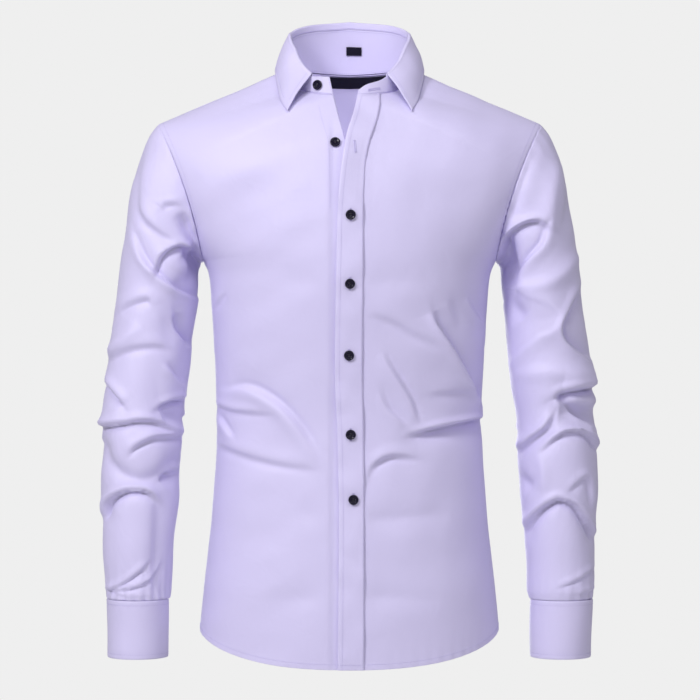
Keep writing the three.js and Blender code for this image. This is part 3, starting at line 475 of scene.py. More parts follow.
def piece_of(mesh, material, node):
    mesh.materials.append(material)
    piece = bpy.data.objects.new(mesh.name, mesh)
    bpy.context.scene.collection.objects.link(piece)
    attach(piece, "root")
    if node:
        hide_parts(node)
    return piece


def seam_steps(start, end, count, length):
    """Steps from start to end, with two more close to each end for the turn of the cloth at a seam."""
    close = [start + (end - start) * near / length for near in (0.5, 1.3)]
    far = [end - (end - start) * near / length for near in (1.3, 0.5)]
    middle = np.linspace(start, end, count + 1)
    return np.array([start, *close, *middle[1:-1], *far, end])


# The cloth's finish. A sateen weave has long floats on its face, which give the soft sheen, and fine slubs.
LAVENDER = (0.672, 0.62, 0.905, 1)
LAVENDER_SHADE = (0.62, 0.57, 0.85, 1)
THREAD_PITCH = 0.42 * MM


def shader_node(tree, kind, inputs=(), **settings):
    """A node with its settings, each input given a value or linked to another node's output."""
    node = tree.nodes.new("ShaderNode" + kind)
    for name, value in settings.items():
        setattr(node, name, value)
    return joined(tree, node, inputs)


def joined(tree, node, inputs):
    for name, given in dict(inputs).items():
        if hasattr(given, "is_output"):
            tree.links.new(given, node.inputs[name])
        else:
            node.inputs[name].default_value = given
    return node


def worked_out(tree, operation, first, second=0):
    return shader_node(tree, "Math", {0: first, 1: second}, operation=operation).outputs[0]


def bumps(tree, height, distance, **others):
    return shader_node(tree, "Bump", {"Height": height, "Distance": distance, **others}).outputs[0]


def between(tree, share, first, second):
    mixed = shader_node(tree, "Mix", data_type="RGBA")
    joined(tree, mixed, {"A": first, "B": second, "Factor": share})
    return mixed.outputs["Result"]


def weave_group():
    """A node group for woven cloth: the height of its threads, and the slubs that make some thicker."""
    group = bpy.data.node_groups.new("woven_threads", "ShaderNodeTree")
    for name, kind, way in [
        ("Threads", "NodeSocketVector", "INPUT"),
        ("Warp Pitch", "NodeSocketFloat", "INPUT"),
        ("Weft Pitch", "NodeSocketFloat", "INPUT"),
        ("Height", "NodeSocketFloat", "OUTPUT"),
        ("Slub", "NodeSocketFloat", "OUTPUT"),
    ]:
        group.interface.new_socket(name=name, in_out=way, socket_type=kind)
    given = group.nodes.new("NodeGroupInput").outputs
    split = shader_node(group, "SeparateXYZ", {0: given["Threads"]})
    turns = [
        worked_out(group, "DIVIDE", split.outputs[axis], given[pitch])
        for axis, pitch in enumerate(("Warp Pitch", "Weft Pitch"))
    ]
    warp, weft = (worked_out(group, "MULTIPLY", turn, 2 * math.pi) for turn in turns)
    # Each warp thread floats over four wefts and dips under the fifth, one step further on each time.
    slant = worked_out(group, "ADD", warp, worked_out(group, "MULTIPLY", weft, 0.4))
    dip = worked_out(group, "MULTIPLY", worked_out(group, "SINE", slant), 0.45)
    stretch = shader_node(group, "VectorMath", {0: given["Threads"], 1: (2200, 90, 1)}, operation="MULTIPLY")
    slub = shader_node(group, "TexNoise", {"Scale": 1, "Detail": 2, "Vector": stretch.outputs[0]})
    result = group.nodes.new("NodeGroupOutput")
    height = worked_out(group, "ADD", worked_out(group, "SINE", warp), dip)
    joined(group, result, {"Height": height, "Slub": slub.outputs["Fac"]})
    return group


woven_threads = weave_group()


def placed_weave(tree, warp_pitch, weft_pitch):
    threads = shader_node(tree, "UVMap", uv_map="threads").outputs[0]
    sockets = {"Threads": threads, "Warp Pitch": warp_pitch, "Weft Pitch": weft_pitch}
    weave = shader_node(tree, "Group", sockets, node_tree=woven_threads)
    return weave.outputs, threads


def new_material(name, colour, rough, **looks):
    """A material with constant sockets, named with underscores for spaces, and its node tree and shader."""
    material = bpy.data.materials.new(name)
    material.use_nodes = True
    material.diffuse_color = colour
    shader = material.node_tree.nodes["Principled BSDF"]
    sockets = {name.replace("_", " "): value for name, value in looks.items()}
    joined(material.node_tree, shader, {"Base Color": colour, "Roughness": rough, **sockets})
    return material, material.node_tree, shader


def make_sateen():
    material, tree, shader = new_material(
        "lavender_sateen", LAVENDER, 0.5,
        Sheen_Weight=0.22, Sheen_Roughness=0.35, Sheen_Tint=(0.86, 0.84, 1, 1), Specular_IOR_Level=0.42,
    )
    weave, threads = placed_weave(tree, THREAD_PITCH, THREAD_PITCH * 0.8)

    # Thicker yarns are a little paler, and the dye varies slightly over a hand's width.
    cloudy = shader_node(tree, "TexNoise", {"Scale": 11, "Detail": 3, "Vector": threads})
    slub = worked_out(tree, "MULTIPLY", weave["Slub"], 0.55)
    depth = worked_out(tree, "MULTIPLY", cloudy.outputs["Fac"], 0.55)
    colour = between(tree, worked_out(tree, "ADD", slub, depth), LAVENDER_SHADE, LAVENDER)
    rough = worked_out(tree, "ADD", worked_out(tree, "MULTIPLY", weave["Slub"], 0.12), 0.4)

    # The small rumples that pressing leaves, then the threads themselves.
    noise = {"Scale": 34, "Detail": 4, "Distortion": 0.6, "Vector": threads}
    rumple = shader_node(tree, "TexNoise", noise).outputs["Fac"]
    rumpled = bumps(tree, rumple, 2.2 * MM, Strength=0.3)
    normal = bumps(tree, weave["Height"], 0.03 * MM, Strength=0.5, Normal=rumpled)
    joined(tree, shader, {"Base Color": colour, "Roughness": rough, "Normal": normal})
    return material


sateen = make_sateen()


def lay_cloth(node, panel, thick=CLOTH):
    """A panel's cloth as the visible piece for a node."""
    return piece_of(cloth_mesh(f"{node}_cloth", panel, thick), sateen, node)


# The sewing thread, in the cloth's own colour, and rows of stitches made as short beads of it that dip
# into the cloth at both ends.
STITCH = SimpleNamespace(long=2.0, gap=0.55, thick=0.21, proud=0.12, sides=5)
STITCH_RINGS = ((0.0, 0.45, -1.1), (0.22, 1.0, 0.5), (0.78, 1.0, 0.5), (1.0, 0.45, -1.1))


def make_thread(name, colour):
    material, tree, shader = new_material(name, colour, 0.45, Sheen_Weight=0.15)
    where = shader_node(tree, "TexCoord").outputs["Object"]
    bands = dict(wave_type="BANDS", bands_direction="DIAGONAL")
    twist = shader_node(tree, "TexWave", {"Scale": 900, "Vector": where}, **bands)
    joined(tree, shader, {"Normal": bumps(tree, twist.outputs["Fac"], 0.05 * MM, Strength=0.6)})
    return material


lavender_thread = make_thread("lavender_thread", (0.53, 0.48, 0.78, 1))


def along_line(places, normals, pitch):
    """The two ends of each stitch along a line, and its normal."""
    gone = np.concatenate([[0], np.linalg.norm(np.diff(places, axis=0), axis=-1).cumsum()])
    count = max(1, int(gone[-1] / pitch))
    starts = np.arange(count) * gone[-1] / count

    def at(part, where):
        return np.stack([np.interp(where, gone, part[:, k]) for k in range(3)], -1)

    ends = starts + STITCH.long
    return at(places, starts), at(places, ends), (at(normals, starts) + at(normals, ends)) / 2


def ring_faces(rings, sides):
    """Faces between rings of vertices that follow one another, each with the same number of sides."""
    faces = []
    for low in range(0, rings * sides, sides):
        for k in range(sides):
            a, b = low + k, low + (k + 1) % sides
            faces.append((a, b, b + sides, a + sides))
    return faces


def sewn(name, lines):
    """Rows of stitches as one mesh. Each line is a pair of arrays, places and normals, on the cloth."""
    all_places, all_faces, used = [], [], 0
    one = np.array(ring_faces(len(STITCH_RINGS) - 1, STITCH.sides))
    for places, normals in lines:
        start, end, up = along_line(places, normals, STITCH.long + STITCH.gap)
        across = np.cross(end - start, up)
        across /= np.linalg.norm(across, axis=-1, keepdims=True)
        up = up / np.linalg.norm(up, axis=-1, keepdims=True)
        rings = []
        for share, full, height in STITCH_RINGS:
            centre = mix(start, end, share) + up * (STITCH.proud + height * STITCH.thick)
            for turn in np.arange(STITCH.sides) * 2 * math.pi / STITCH.sides:
                reach = across * math.cos(turn) + up * math.sin(turn)
                rings.append(centre + reach * STITCH.thick * full)
        rings = np.stack(rings, axis=1)
        count, each = rings.shape[:2]
        faces = one[None] + (np.arange(count) * each)[:, None, None] + used
        all_places.append(rings.reshape(-1, 3))
        all_faces += faces.reshape(-1, 4).tolist()
        used += count * each
    return piece_of(new_mesh(name, np.concatenate(all_places) * MM, all_faces), lavender_thread, None)


BODY_LENGTH = 466
FRONT = SimpleNamespace(
    width=210, across=88, strip_across=13, up=196, chest_up=66, shoulder_up=38, shoulder=95
)


def front_rows():
    below = seam_steps(0, 1, FRONT.up, BODY_LENGTH)[:-2]
    chest = np.linspace(1, 1 + NECK_RISE, FRONT.chest_up)[1:]
    shoulder = seam_steps(1 + NECK_RISE, 2, FRONT.shoulder_up, FRONT.shoulder)[3:]
    return np.concatenate([below, chest, shoulder])


def front_columns(strip):
    outer = seam_steps(strip, 1, FRONT.across, FRONT.width)[3:]
    return np.concatenate([np.linspace(0, strip, FRONT.strip_across), outer])


ARMPIT_EASE = SimpleNamespace(reach=0.1, passes=14)
HEM_FOLD = SimpleNamespace(rise=0.22, start=5.6, end=6.8)


def clear_of_armhole(panel):
    """Creases fade out at the armhole."""
    return 1 - smooth(0.75, 1, np.abs(panel.u)) * smooth(0.9, 1.1, panel.v)


def ease_armpit(panel):
    panel.ease(np.exp(-(((panel.v - 1) / ARMPIT_EASE.reach) ** 2)), 0, ARMPIT_EASE.passes)


def hem_height(panel, seed):
    """The turned hem's second layer, and the waves of its stitches."""
    step = HEM_FOLD.rise * (1 - smooth(HEM_FOLD.start, HEM_FOLD.end, panel.low))
    return step + puckered(panel.low, panel.left, seed, deep=0.35, wave=14, reach=11)


def armhole_height(panel, away, seed):
    """The armhole or side seam, sunk in and puckered, more so above the armpit."""
    upper = 0.4 + 0.6 * smooth(0.97, 1.03, panel.v)
    return puckered(away, panel.low, seed, deep=0.4) * upper + sunk_edge(away, deep=0.7)


def dress_front(panel, seed):
    """What a sewn front has over its plain form: the wander of the cloth, and seams drawn in by stitches."""
    ease_armpit(panel)
    x, z = panel.grid[..., 0], panel.grid[..., 2]
    height = unevenness(x, z, seed, size=0.7) * smooth(0, 30, panel.right) * smooth(0.02, 0.3, panel.u)
    height += armhole_height(panel, panel.right, seed + 1) + hem_height(panel, seed + 2)
    height += sunk_edge(panel.high, deep=0.5) * (panel.v > 1.62)
    panel.raise_by(height)


def edge_line(panel, side, distance, keep=None):
    """A line on a panel at an even distance from one of its edges, where keep is true."""
    along_u = side in ("low", "high")
    away, held, fixed = getattr(panel, side), panel.u, panel.v[:, 0]
    if along_u:
        away, held, fixed = away.T, panel.v.T, panel.u[0]
    if side in ("right", "high"):
        away, held = away[:, ::-1], held[:, ::-1]
    found = np.array([np.interp(distance, *line) for line in zip(away, held)])
    us, vs = (fixed, found) if along_u else (found, fixed)
    kept = keep(us, vs) if keep else slice(None)
    return panel.at(us[kept], vs[kept])


def sew_edges(name, panel, *rows, more=()):
    """Rows of stitches, each given as a panel's edge, its distance from it and where it runs."""
    sewn(f"{name}_stitches", [edge_line(panel, *row) for row in rows] + list(more))


def on_armhole(u, v):
    return (v > 1.02) & (v < 1.96)


HEM_ROW = ("low", 6)
ARMHOLE_ROW = 6.5
SEAM_ROW = 1.8
SHOULDER_ROW = ("high", 1.6, lambda u, v: u > 0.02)

left_surface = front(LEFT, opening.edge, opening.seam, STRIP.left, BAND_END.left)
left_front = Panel(left_surface, front_columns(STRIP.left), front_rows(), LEFT)
left_front.crease(BODY_FOLDS, 1, clear_of_armhole(left_front) * smooth(0.08, 0.2, left_front.u))

# Where it is open, below the band, its free edge stands a little away from the body.
EDGE_LIFT = 6
lifted = (1 - np.clip(left_front.u / (1.3 * STRIP.left), 0, 1)) ** 1.3
lifted *= smooth(-175, -115, left_front.grid[..., 2]) * (1 - smooth(-60, -32, left_front.grid[..., 2]))
left_front.raise_by(EDGE_LIFT * lifted)
left_front_plain = copy(left_front)
dress_front(left_front, 11)
lay_cloth("front_left", left_front)
sew_edges(
    "front_left", left_front,
    (*HEM_ROW, lambda u, v: u > STRIP.left * 1.02), SHOULDER_ROW, ("right", ARMHOLE_ROW, on_armhole),
)

# Right front: the wearer's right half, the side with the buttons. Its free edge is turned under as a
# plain button stand with one row of stitches, and runs on beneath the placket, a little further back.
LIFT = 0.7
UNDER = SimpleNamespace(start=-25, full=-18, high=-48, low=-82)

right_surface = front(RIGHT, opening.under, opening.stand, STRIP.right, BAND_END.right)
right_front = Panel(right_surface, front_columns(STRIP.right), front_rows(), RIGHT)
right_front.crease(BODY_FOLDS, 1, clear_of_armhole(right_front) * smooth(0.08, 0.2, right_front.u))
beneath = smooth(UNDER.start, UNDER.full, right_front.grid[..., 0])
beneath *= 1 - smooth(UNDER.low, UNDER.high, right_front.grid[..., 2])
right_front.raise_by(-(CLOTH + LIFT) * beneath)
dress_front(right_front, 23)
lay_cloth("front_right", right_front)
stand_row = right_front.at(np.full(150, STRIP.right * 0.97), np.linspace(1.2, 1.59, 150))
sew_edges(
    "front_right", right_front,
    HEM_ROW, SHOULDER_ROW, ("right", ARMHOLE_ROW, on_armhole), more=[stand_row],
)

# Front placket: a separate strip of the same cloth, two layers with a light interlining, stitched down on
# the left front along both of its edges. It has a worked buttonhole for each button but the loose one.
DOUBLED = 1.6
PLACKET_RISE = DOUBLED + LIFT
PLACKET_ROW = 5.5
PLACKET_TOP = 0.117


def placket_surface(u, v):
    """The placket's rows grow shorter above the corner of the neck, where its top follows the neck seam."""
    above = np.maximum(0, v - 1 - NECK_RISE) / PLACKET_TOP
    places, normals = left_front_plain.at(u * (1 - above), v)
    return places + normals * PLACKET_RISE


placket_vs = front_rows()
placket_vs = placket_vs[placket_vs < 1 + NECK_RISE + 0.95 * PLACKET_TOP]
placket = Panel(placket_surface, seam_steps(0, STRIP.left, 14, 30), placket_vs, LEFT)
height = sunk_edge(placket.left, deep=0.7) + sunk_edge(placket.right, deep=0.9)
for side, seed in ((placket.left, 31), (placket.right, 32)):
    height += puckered(side, placket.low, seed, deep=0.22, wave=8, reach=6)
    height += sunk_edge(side - PLACKET_ROW, deep=0.25, reach=1.0)
height += unevenness(placket.grid[..., 0], placket.grid[..., 2], 33, size=0.7, low=22, high=80)
placket.raise_by(height)
lay_cloth("placket", placket, DOUBLED - 0.9 * np.exp(-((np.minimum(placket.left, placket.right) / 0.9) ** 2)))
sew_edges("placket", placket, ("left", PLACKET_ROW), ("right", SEAM_ROW), HEM_ROW)

# Back: one piece below the yoke, wide at the hem and drawn in at the waist.
YOKE_Z = -95
FLAT_SHAPE = dict(near_x=0.55, near_y=0, far_x=0.93, far_y=0.5)


def back_angle(z):
    return -np.arccos(np.clip(2 * (z - PIT.z) / (TIP.z - PIT.z) - 1, -1, 1))


def back_surface(q, t):
    side = np.where(q < 0, RIGHT, LEFT)
    low = lower_point(side, "back", np.abs(q), np.minimum(t, 1))
    z = mix(PIT.z, YOKE_Z, np.maximum(t, 1) - 1)
    share = smooth(PIT.z, YOKE_Z, z)
    plain = shape_at(0 * z)
    names = ("near_x", "near_y", "far_x", "far_y")
    shape = SimpleNamespace(swell=0, **{n: mix(getattr(plain, n), FLAT_SHAPE[n], share) for n in names})
    near = points(0 * z, body.back(z), z)
    high = along_row(near, armhole(side, back_angle(z)), shape, 0, np.abs(q))
    return np.where((t <= 1)[..., None], low, high)


half_back = seam_steps(0, 1, 84, 225)[3:]
back_us = np.concatenate([-half_back[::-1], [0], half_back])
back_vs = np.concatenate([seam_steps(0, 1, 190, BODY_LENGTH)[:-2], seam_steps(1, 2, 42, 125)[3:]])
back = Panel(back_surface, back_us, back_vs, -1)
ease_armpit(back)
back.crease(BODY_FOLDS, 1, clear_of_armhole(back))
nearest_side = np.minimum(back.left, back.right)
height = unevenness(back.grid[..., 0], back.grid[..., 2], 41, size=0.8) * smooth(0, 30, nearest_side)
height += armhole_height(back, nearest_side, 42) + hem_height(back, 44)
height += puckered(back.high, back.left, 43, deep=0.3, wave=11) + sunk_edge(back.high, deep=0.6)
back.raise_by(height)
lay_cloth("back", back)
back_rows = [(side, ARMHOLE_ROW, lambda u, v: v > 1.02) for side in ("left", "right")]
sew_edges("back", back, HEM_ROW, *back_rows)

# Yoke: over both shoulders, between the back, the two fronts, the sleeves and the collar band, with a row of
# stitches close to each of its seams.
NECK_SHARE = 0.25
YOKE_EASE = SimpleNamespace(reach=0.16, passes=50)


def yoke_surface(q, t):
    side = np.where(q < 0, RIGHT, LEFT)
    share = np.abs(q)
    low = back_surface(q, np.full_like(q, 2.0))
    at_neck = neck_seam(side * 90 * np.minimum(share, NECK_SHARE) / NECK_SHARE)
    along = np.clip((share - NECK_SHARE) / (1 - NECK_SHARE), 0, 1)[..., None]
    high = mix(at_neck, armhole(side, 0 * q), along)
    turned = mix(low, high, np.array([0.4, 0.24, 0.72]))
    t3 = t[..., None]
    inside = low * (1 - t3) ** 2 + turned * 2 * t3 * (1 - t3) + high * t3**2
    edge = armhole(side, mix(back_angle(YOKE_Z), 0, t))
    return mix(inside, edge, smooth(0.6, 1, share)[..., None])


half_yoke = np.concatenate([np.linspace(0, NECK_SHARE, 34), seam_steps(NECK_SHARE, 1, 56, 165)[3:]])
yoke = Panel(yoke_surface, np.concatenate([-half_yoke[:0:-1], half_yoke]), seam_steps(0, 1, 44, 130), -1)
yoke.ease(np.exp(-(((np.abs(yoke.u) - NECK_SHARE) / YOKE_EASE.reach) ** 2)), 1, YOKE_EASE.passes)
nearest_side = np.minimum(yoke.left, yoke.right)
height = unevenness(yoke.grid[..., 0], yoke.grid[..., 1] + yoke.grid[..., 2], 51, size=0.35)
height += puckered(nearest_side, yoke.low, 52, deep=0.35) + sunk_edge(nearest_side, deep=0.7)
height += puckered(yoke.low, yoke.left, 53, deep=0.25, wave=11) + sunk_edge(yoke.low, deep=0.6)
height += sunk_edge(yoke.high, deep=0.5)
yoke.raise_by(height)
lay_cloth("yoke", yoke)
neck_rows = [
    ("high", SEAM_ROW, lambda u, v, side=side: side * u > NECK_SHARE * 1.05) for side in (LEFT, RIGHT)
]
sew_edges("yoke", yoke, ("low", SEAM_ROW), *neck_rows)

# Sleeves: one piece each, closed by a seam under the arm and set into the armhole. They are full enough to
# crease across the elbow and forearm. The pattern's sizes are its rings from the armhole to the cuff.
SLEEVE = dict(
    out_x=(224, 233, 243, 251, 258, 264, 269, 274, 280, 285, 288, 289, 288, 286, 284, 282),
    out_z=(-57, -68, -91, -117, -150, -190, -232, -275, -318, -362, -402, -444, -490, -540, -580, -608.6),
    in_x=(170.5, 173, 175, 176, 176.5, 177, 178.5, 181, 184.5, 190, 194, 196, 199, 203.5, 206.5, 208.5),
    in_z=(-217, -220, -223, -226, -231, -240, -256, -282, -320, -362, -402, -444, -490, -540, -580, -608.6),
    deep=(62, 63, 63, 63, 62, 61, 60, 59, 57, 56, 55, 53, 50, 47, 44, 42),
    y=(4, 4, 4, 4, 3, 2, 1, -1, -3, -5, -8, -11, -15, -19, -22, -24),
)
RIGHT_SLEEVE_FOLDS = dict(
    front=[
        dict(wide=11, drop=8, start=0.1, end=0.7,
             path=[(250, -183), (239, -211), (222, -232), (205, -246), (185, -256)]),
        dict(wide=9, drop=-9, start=0.6, end=1,
             path=[(222, -229), (217, -215), (208, -206), (196, -201), (187, -203)]),
        dict(wide=8, deep=-15, end=1.2, path=[(190, -205), (172, -220)]),
        dict(wide=17, drop=11, sharp=7, start=1, end=0.4, path=[(172, -214), (180, -222), (194, -238)]),
        dict(wide=7, deep=-9, start=0.1, end=1, path=[(196, -163), (185, -183), (175, -201)]),
        dict(wide=7, drop=-4, path=[(215, -158), (210, -153), (195, -152)]),
        dict(wide=10, drop=-4.5, sharp=4,
             path=[(241, -91), (243, -148), (237, -168), (223, -182), (206, -192), (189, -198)]),
        dict(wide=13, drop=-4.5, sharp=2.5, path=[(267, -277), (254, -268), (233, -262), (227, -271)]),
        dict(wide=10, drop=9, deep=-8, end=1, path=[(201, -279), (196, -298), (182, -316)]),
        dict(wide=7, deep=4.5, start=0.8, path=[(276, -319), (255, -305), (240, -293)]),
        dict(wide=9, drop=-4.5, sharp=3, start=0.8,
             path=[(277, -328), (252, -319), (228, -316), (207, -319)]),
        dict(wide=8, drop=4.5, end=0.8, path=[(212, -336), (203, -347), (194, -358)]),
        dict(wide=9, drop=-9, start=1, path=[(279, -361), (268, -374), (259, -384)]),
        dict(wide=10, drop=-11.5, deep=-9, end=1.1, path=[(219, -387), (205, -381), (191, -378)]),
        dict(wide=15, drop=-11, sharp=7, end=1, path=[(216, -393), (202, -391), (187, -391)]),
        dict(wide=9, drop=-9, sharp=1.5, start=1,
             path=[(286, -409), (260, -405), (243, -402), (226, -403), (216, -408)]),
        dict(wide=7, deep=4.5, start=0.8, path=[(285, -402), (260, -388)]),
        dict(wide=6, drop=-4.5, end=0.8, path=[(222, -401), (208, -410), (192, -419)]),
        dict(wide=7, drop=-7, end=0.9,
             path=[(253, -440), (246, -432), (231, -424), (219, -421), (192, -421)]),
        dict(wide=8, deep=-7, start=0.9, end=0.8,
             path=[(285, -433), (280, -447), (268, -459), (254, -467),
                   (237, -470), (216, -464), (201, -449)]),
        dict(wide=12, drop=-9, deep=-6, end=1, path=[(216, -470), (205, -463), (195, -461)]),
        dict(wide=9, drop=-11.5, deep=-2.5, sharp=1.5, start=1,
             path=[(284, -508), (280, -497), (268, -487), (254, -482),
                   (239, -482), (229, -486), (222, -493)]),
        dict(wide=14, drop=4, sharp=5, path=[(225, -500), (226, -600)]),
        dict(wide=5, drop=-4, sharp=1.3, start=0.8,
             path=[(277, -597), (260, -589), (240, -574), (231, -564)]),
        dict(wide=5, drop=-3.5, sharp=1.3, start=0.8,
             path=[(277, -598), (248, -594), (225, -582), (216, -566)]),
        dict(wide=4, drop=-3, sharp=1.3, path=[(275, -599), (254, -605), (222, -605)]),
    ],
    back=[
        dict(wide=11, drop=6, end=1, path=[(250, -120), (222, -165), (180, -214)]),
        dict(wide=11, drop=6, end=0.8, path=[(262, -200), (236, -232), (186, -256)]),
        dict(wide=9, drop=-4, sharp=3, start=0.8, path=[(278, -300), (246, -292), (214, -306)]),
        dict(wide=11, drop=-7, start=0.9, path=[(284, -352), (250, -372), (205, -385)]),
        dict(wide=8, drop=-6, end=0.9, path=[(276, -400), (240, -408), (192, -398)]),
        dict(wide=9, drop=-7, start=0.9, path=[(287, -428), (255, -446), (206, -452)]),
        dict(wide=9, drop=-6, sharp=1.5, start=0.8, path=[(280, -508), (246, -484), (212, -496)]),
        dict(wide=5, drop=-3, sharp=1.3, path=[(268, -594), (244, -576), (222, -570)]),
    ],
)
LEFT_SLEEVE_FOLDS = dict(
    front=[
        dict(wide=7, deep=-5, end=0.8, path=[(210, -91), (197, -125), (184, -160)]),
        dict(wide=10, deep=7, path=[(240, -101), (233, -137), (229, -165), (226, -183)]),
        dict(wide=16, drop=-4.5, sharp=5, path=[(244, -108), (250, -148), (244, -177)]),
        dict(wide=10, drop=9, sharp=1.5, start=1, end=0.4,
             path=[(174, -200), (186, -185), (200, -176), (215, -173), (225, -178)]),
        dict(wide=10, drop=7, sharp=2.5, start=0.7, end=0.7,
             path=[(227, -180), (221, -198), (205, -215), (194, -231), (192, -244)]),
        dict(wide=10, deep=-14, start=1, end=0.4, path=[(178, -203), (184, -250)]),
        dict(wide=9, drop=2, deep=3.5, sharp=3, start=0.5, end=0.7,
             path=[(194, -252), (209, -261), (226, -268), (239, -279),
                   (240, -288), (232, -298), (215, -307), (187, -334)]),
        dict(wide=8, deep=4.5, end=0.9, path=[(196, -247), (221, -247), (244, -234), (263, -214)]),
        dict(wide=11, drop=-11.5, deep=-3.5, sharp=2, start=0.7, end=0.6,
             path=[(265, -255), (255, -275), (246, -292), (251, -309), (273, -326)]),
        dict(wide=9, deep=-6, start=0.7, path=[(182, -262), (200, -285)]),
        dict(wide=9, deep=4, end=0.7, path=[(190, -350), (240, -347), (284, -352)]),
        dict(wide=12, drop=14, deep=-10.5, end=1.1, path=[(236, -374), (250, -368), (279, -364)]),
        dict(wide=20, drop=20, sharp=8, end=1, path=[(242, -381), (262, -384), (287, -387)]),
        dict(wide=6, drop=-7, end=1, path=[(236, -377), (255, -387), (276, -399), (284, -407)]),
        dict(wide=9, drop=9, start=0.9, path=[(194, -438), (209, -424), (226, -410), (234, -395)]),
        dict(wide=7, drop=9, sharp=1.4, end=1,
             path=[(222, -436), (234, -424), (247, -416), (262, -414), (276, -419), (286, -431)]),
        dict(wide=6, deep=3.5, path=[(218, -438), (224, -459), (223, -482)]),
        dict(wide=7, deep=-6, start=1, path=[(196, -468), (212, -480)]),
        dict(wide=8, drop=4.5, end=0.8, path=[(251, -483), (273, -468), (279, -493)]),
        dict(wide=8, drop=10.5, deep=-2.5, sharp=1.5, start=0.9, end=0.9,
             path=[(201, -530), (209, -516), (221, -503), (235, -494),
                   (244, -493), (258, -499), (270, -513), (283, -533)]),
        dict(wide=5, drop=3.5, sharp=1.3, end=0.9, path=[(241, -593), (261, -585), (281, -574)]),
        dict(wide=4, drop=3, sharp=1.3, end=0.9, path=[(263, -601), (281, -598)]),
    ],
    back=[
        dict(wide=11, drop=6, end=1, path=[(252, -126), (226, -160), (180, -208)]),
        dict(wide=11, drop=6, end=0.8, path=[(264, -214), (232, -246), (188, -264)]),
        dict(wide=9, drop=-4, sharp=3, start=0.8, path=[(280, -292), (240, -300), (206, -322)]),
        dict(wide=11, drop=-7, start=0.9, path=[(284, -344), (246, -366), (200, -372)]),
        dict(wide=8, drop=-6, end=0.9, path=[(278, -392), (244, -402), (194, -414)]),
        dict(wide=9, drop=-7, start=0.9, path=[(288, -436), (250, -450), (208, -440)]),
        dict(wide=9, drop=-6, sharp=1.5, start=0.8, path=[(282, -524), (242, -496), (208, -514)]),
        dict(wide=5, drop=-3, sharp=1.3, path=[(270, -580), (240, -590), (218, -576)]),
    ],
)

SLEEVE_STEPS = SimpleNamespace(around=144, along=228)

ring_count = len(SLEEVE["y"])
rings_of = columns(dict(at=np.arange(ring_count) / (ring_count - 1), **SLEEVE))


def sleeve_surface(side):
    def surface(u, v):
        angle = 2 * math.pi * u
        share = (1 + np.cos(angle)) / 2
        bow = ARMHOLE.bow * np.sin(angle) ** 2 * (1 - smooth(0, 0.3, v))
        x = mix(rings_of.in_x(v), rings_of.out_x(v), share) - bow
        y = rings_of.y(v) - rings_of.deep(v) * np.sin(angle)
        return points(side * x, y, mix(rings_of.in_z(v), rings_of.out_z(v), share))

    return surface


sleeves = {}
for name, side, folds, seed in [
    ("right", RIGHT, RIGHT_SLEEVE_FOLDS, 61),
    ("left", LEFT, LEFT_SLEEVE_FOLDS, 71),
]:
    around = np.arange(SLEEVE_STEPS.around) / SLEEVE_STEPS.around
    sleeve = Panel(sleeve_surface(side), around, seam_steps(0, 1, SLEEVE_STEPS.along, 540), side, ring=True)
    fade = smooth(0, 0.08, sleeve.v) * (1 - smooth(0.975, 1, sleeve.v))
    sleeve.crease(folds, side, fade)
    x, z = sleeve.grid[..., 0], sleeve.grid[..., 2]
    height = unevenness(x + sleeve.grid[..., 1], z, seed, size=0.7) * fade
    # The cap is eased into the armhole, and the wrist is gathered a little into the cuff.
    ring_length = sleeve.u * 330
    height += puckered(sleeve.low, ring_length, seed + 1, deep=0.55, wave=12, reach=14)
    height += puckered(sleeve.high, ring_length * 0.8, seed + 2, deep=0.9, wave=13, reach=24)
    height += sunk_edge(sleeve.low, deep=0.5) + sunk_edge(sleeve.high, deep=0.6)
    sleeve.raise_by(height)
    sleeves[name] = sleeve
    lay_cloth(f"sleeve_{name}", sleeve)

# Sleeve plackets: a narrow strip on each sleeve over the slit above the cuff, pointed at the top and
# stitched down all round.
SLIT_TURN = -0.14
SLIT = SimpleNamespace(half=0.045, low=0.995, high=0.76)
TAB_CLOTH = 1.0

for name, side in [("right", RIGHT), ("left", LEFT)]:
    sleeve = sleeves[name]

    def strip_surface(u, v, sleeve=sleeve):
        turn = SLIT_TURN + u * SLIT.half * np.minimum(1, 0.12 + (v - SLIT.high) / 0.035)
        places, normals = sleeve.at(np.mod(turn, 1) * (1 - 1e-9), v)
        return places + normals * (TAB_CLOTH + LIFT / 2)

    strip = Panel(strip_surface, seam_steps(-1, 1, 12, 26), seam_steps(SLIT.high, SLIT.low, 52, 140), side)
    edge = np.minimum(np.minimum(strip.left, strip.right), strip.high)
    strip.raise_by(sunk_edge(edge, deep=0.6, reach=0.9) + sunk_edge(edge - 2, deep=0.12, reach=0.8))
    lay_cloth(f"sleeve_placket_{name}", strip, TAB_CLOTH)
    sew_edges(f"sleeve_placket_{name}", strip, ("left", 2), ("right", 2), ("low", 3))

# Cuffs: two layers over an interlining, lapped and buttoned at the outer side of the wrist, with one row of
# stitches inside their edges. Their lower corners are rounded.
CUFF = SimpleNamespace(top=-609, bottom=-676, out_x=280.5, in_x=209.5, deep=41.5, y=-27, length=250, corner=9)
CUFF_LAP = 0.09
CUFF_ROW = 5.5
LAP_RISE = 2.3
cuffs = {}


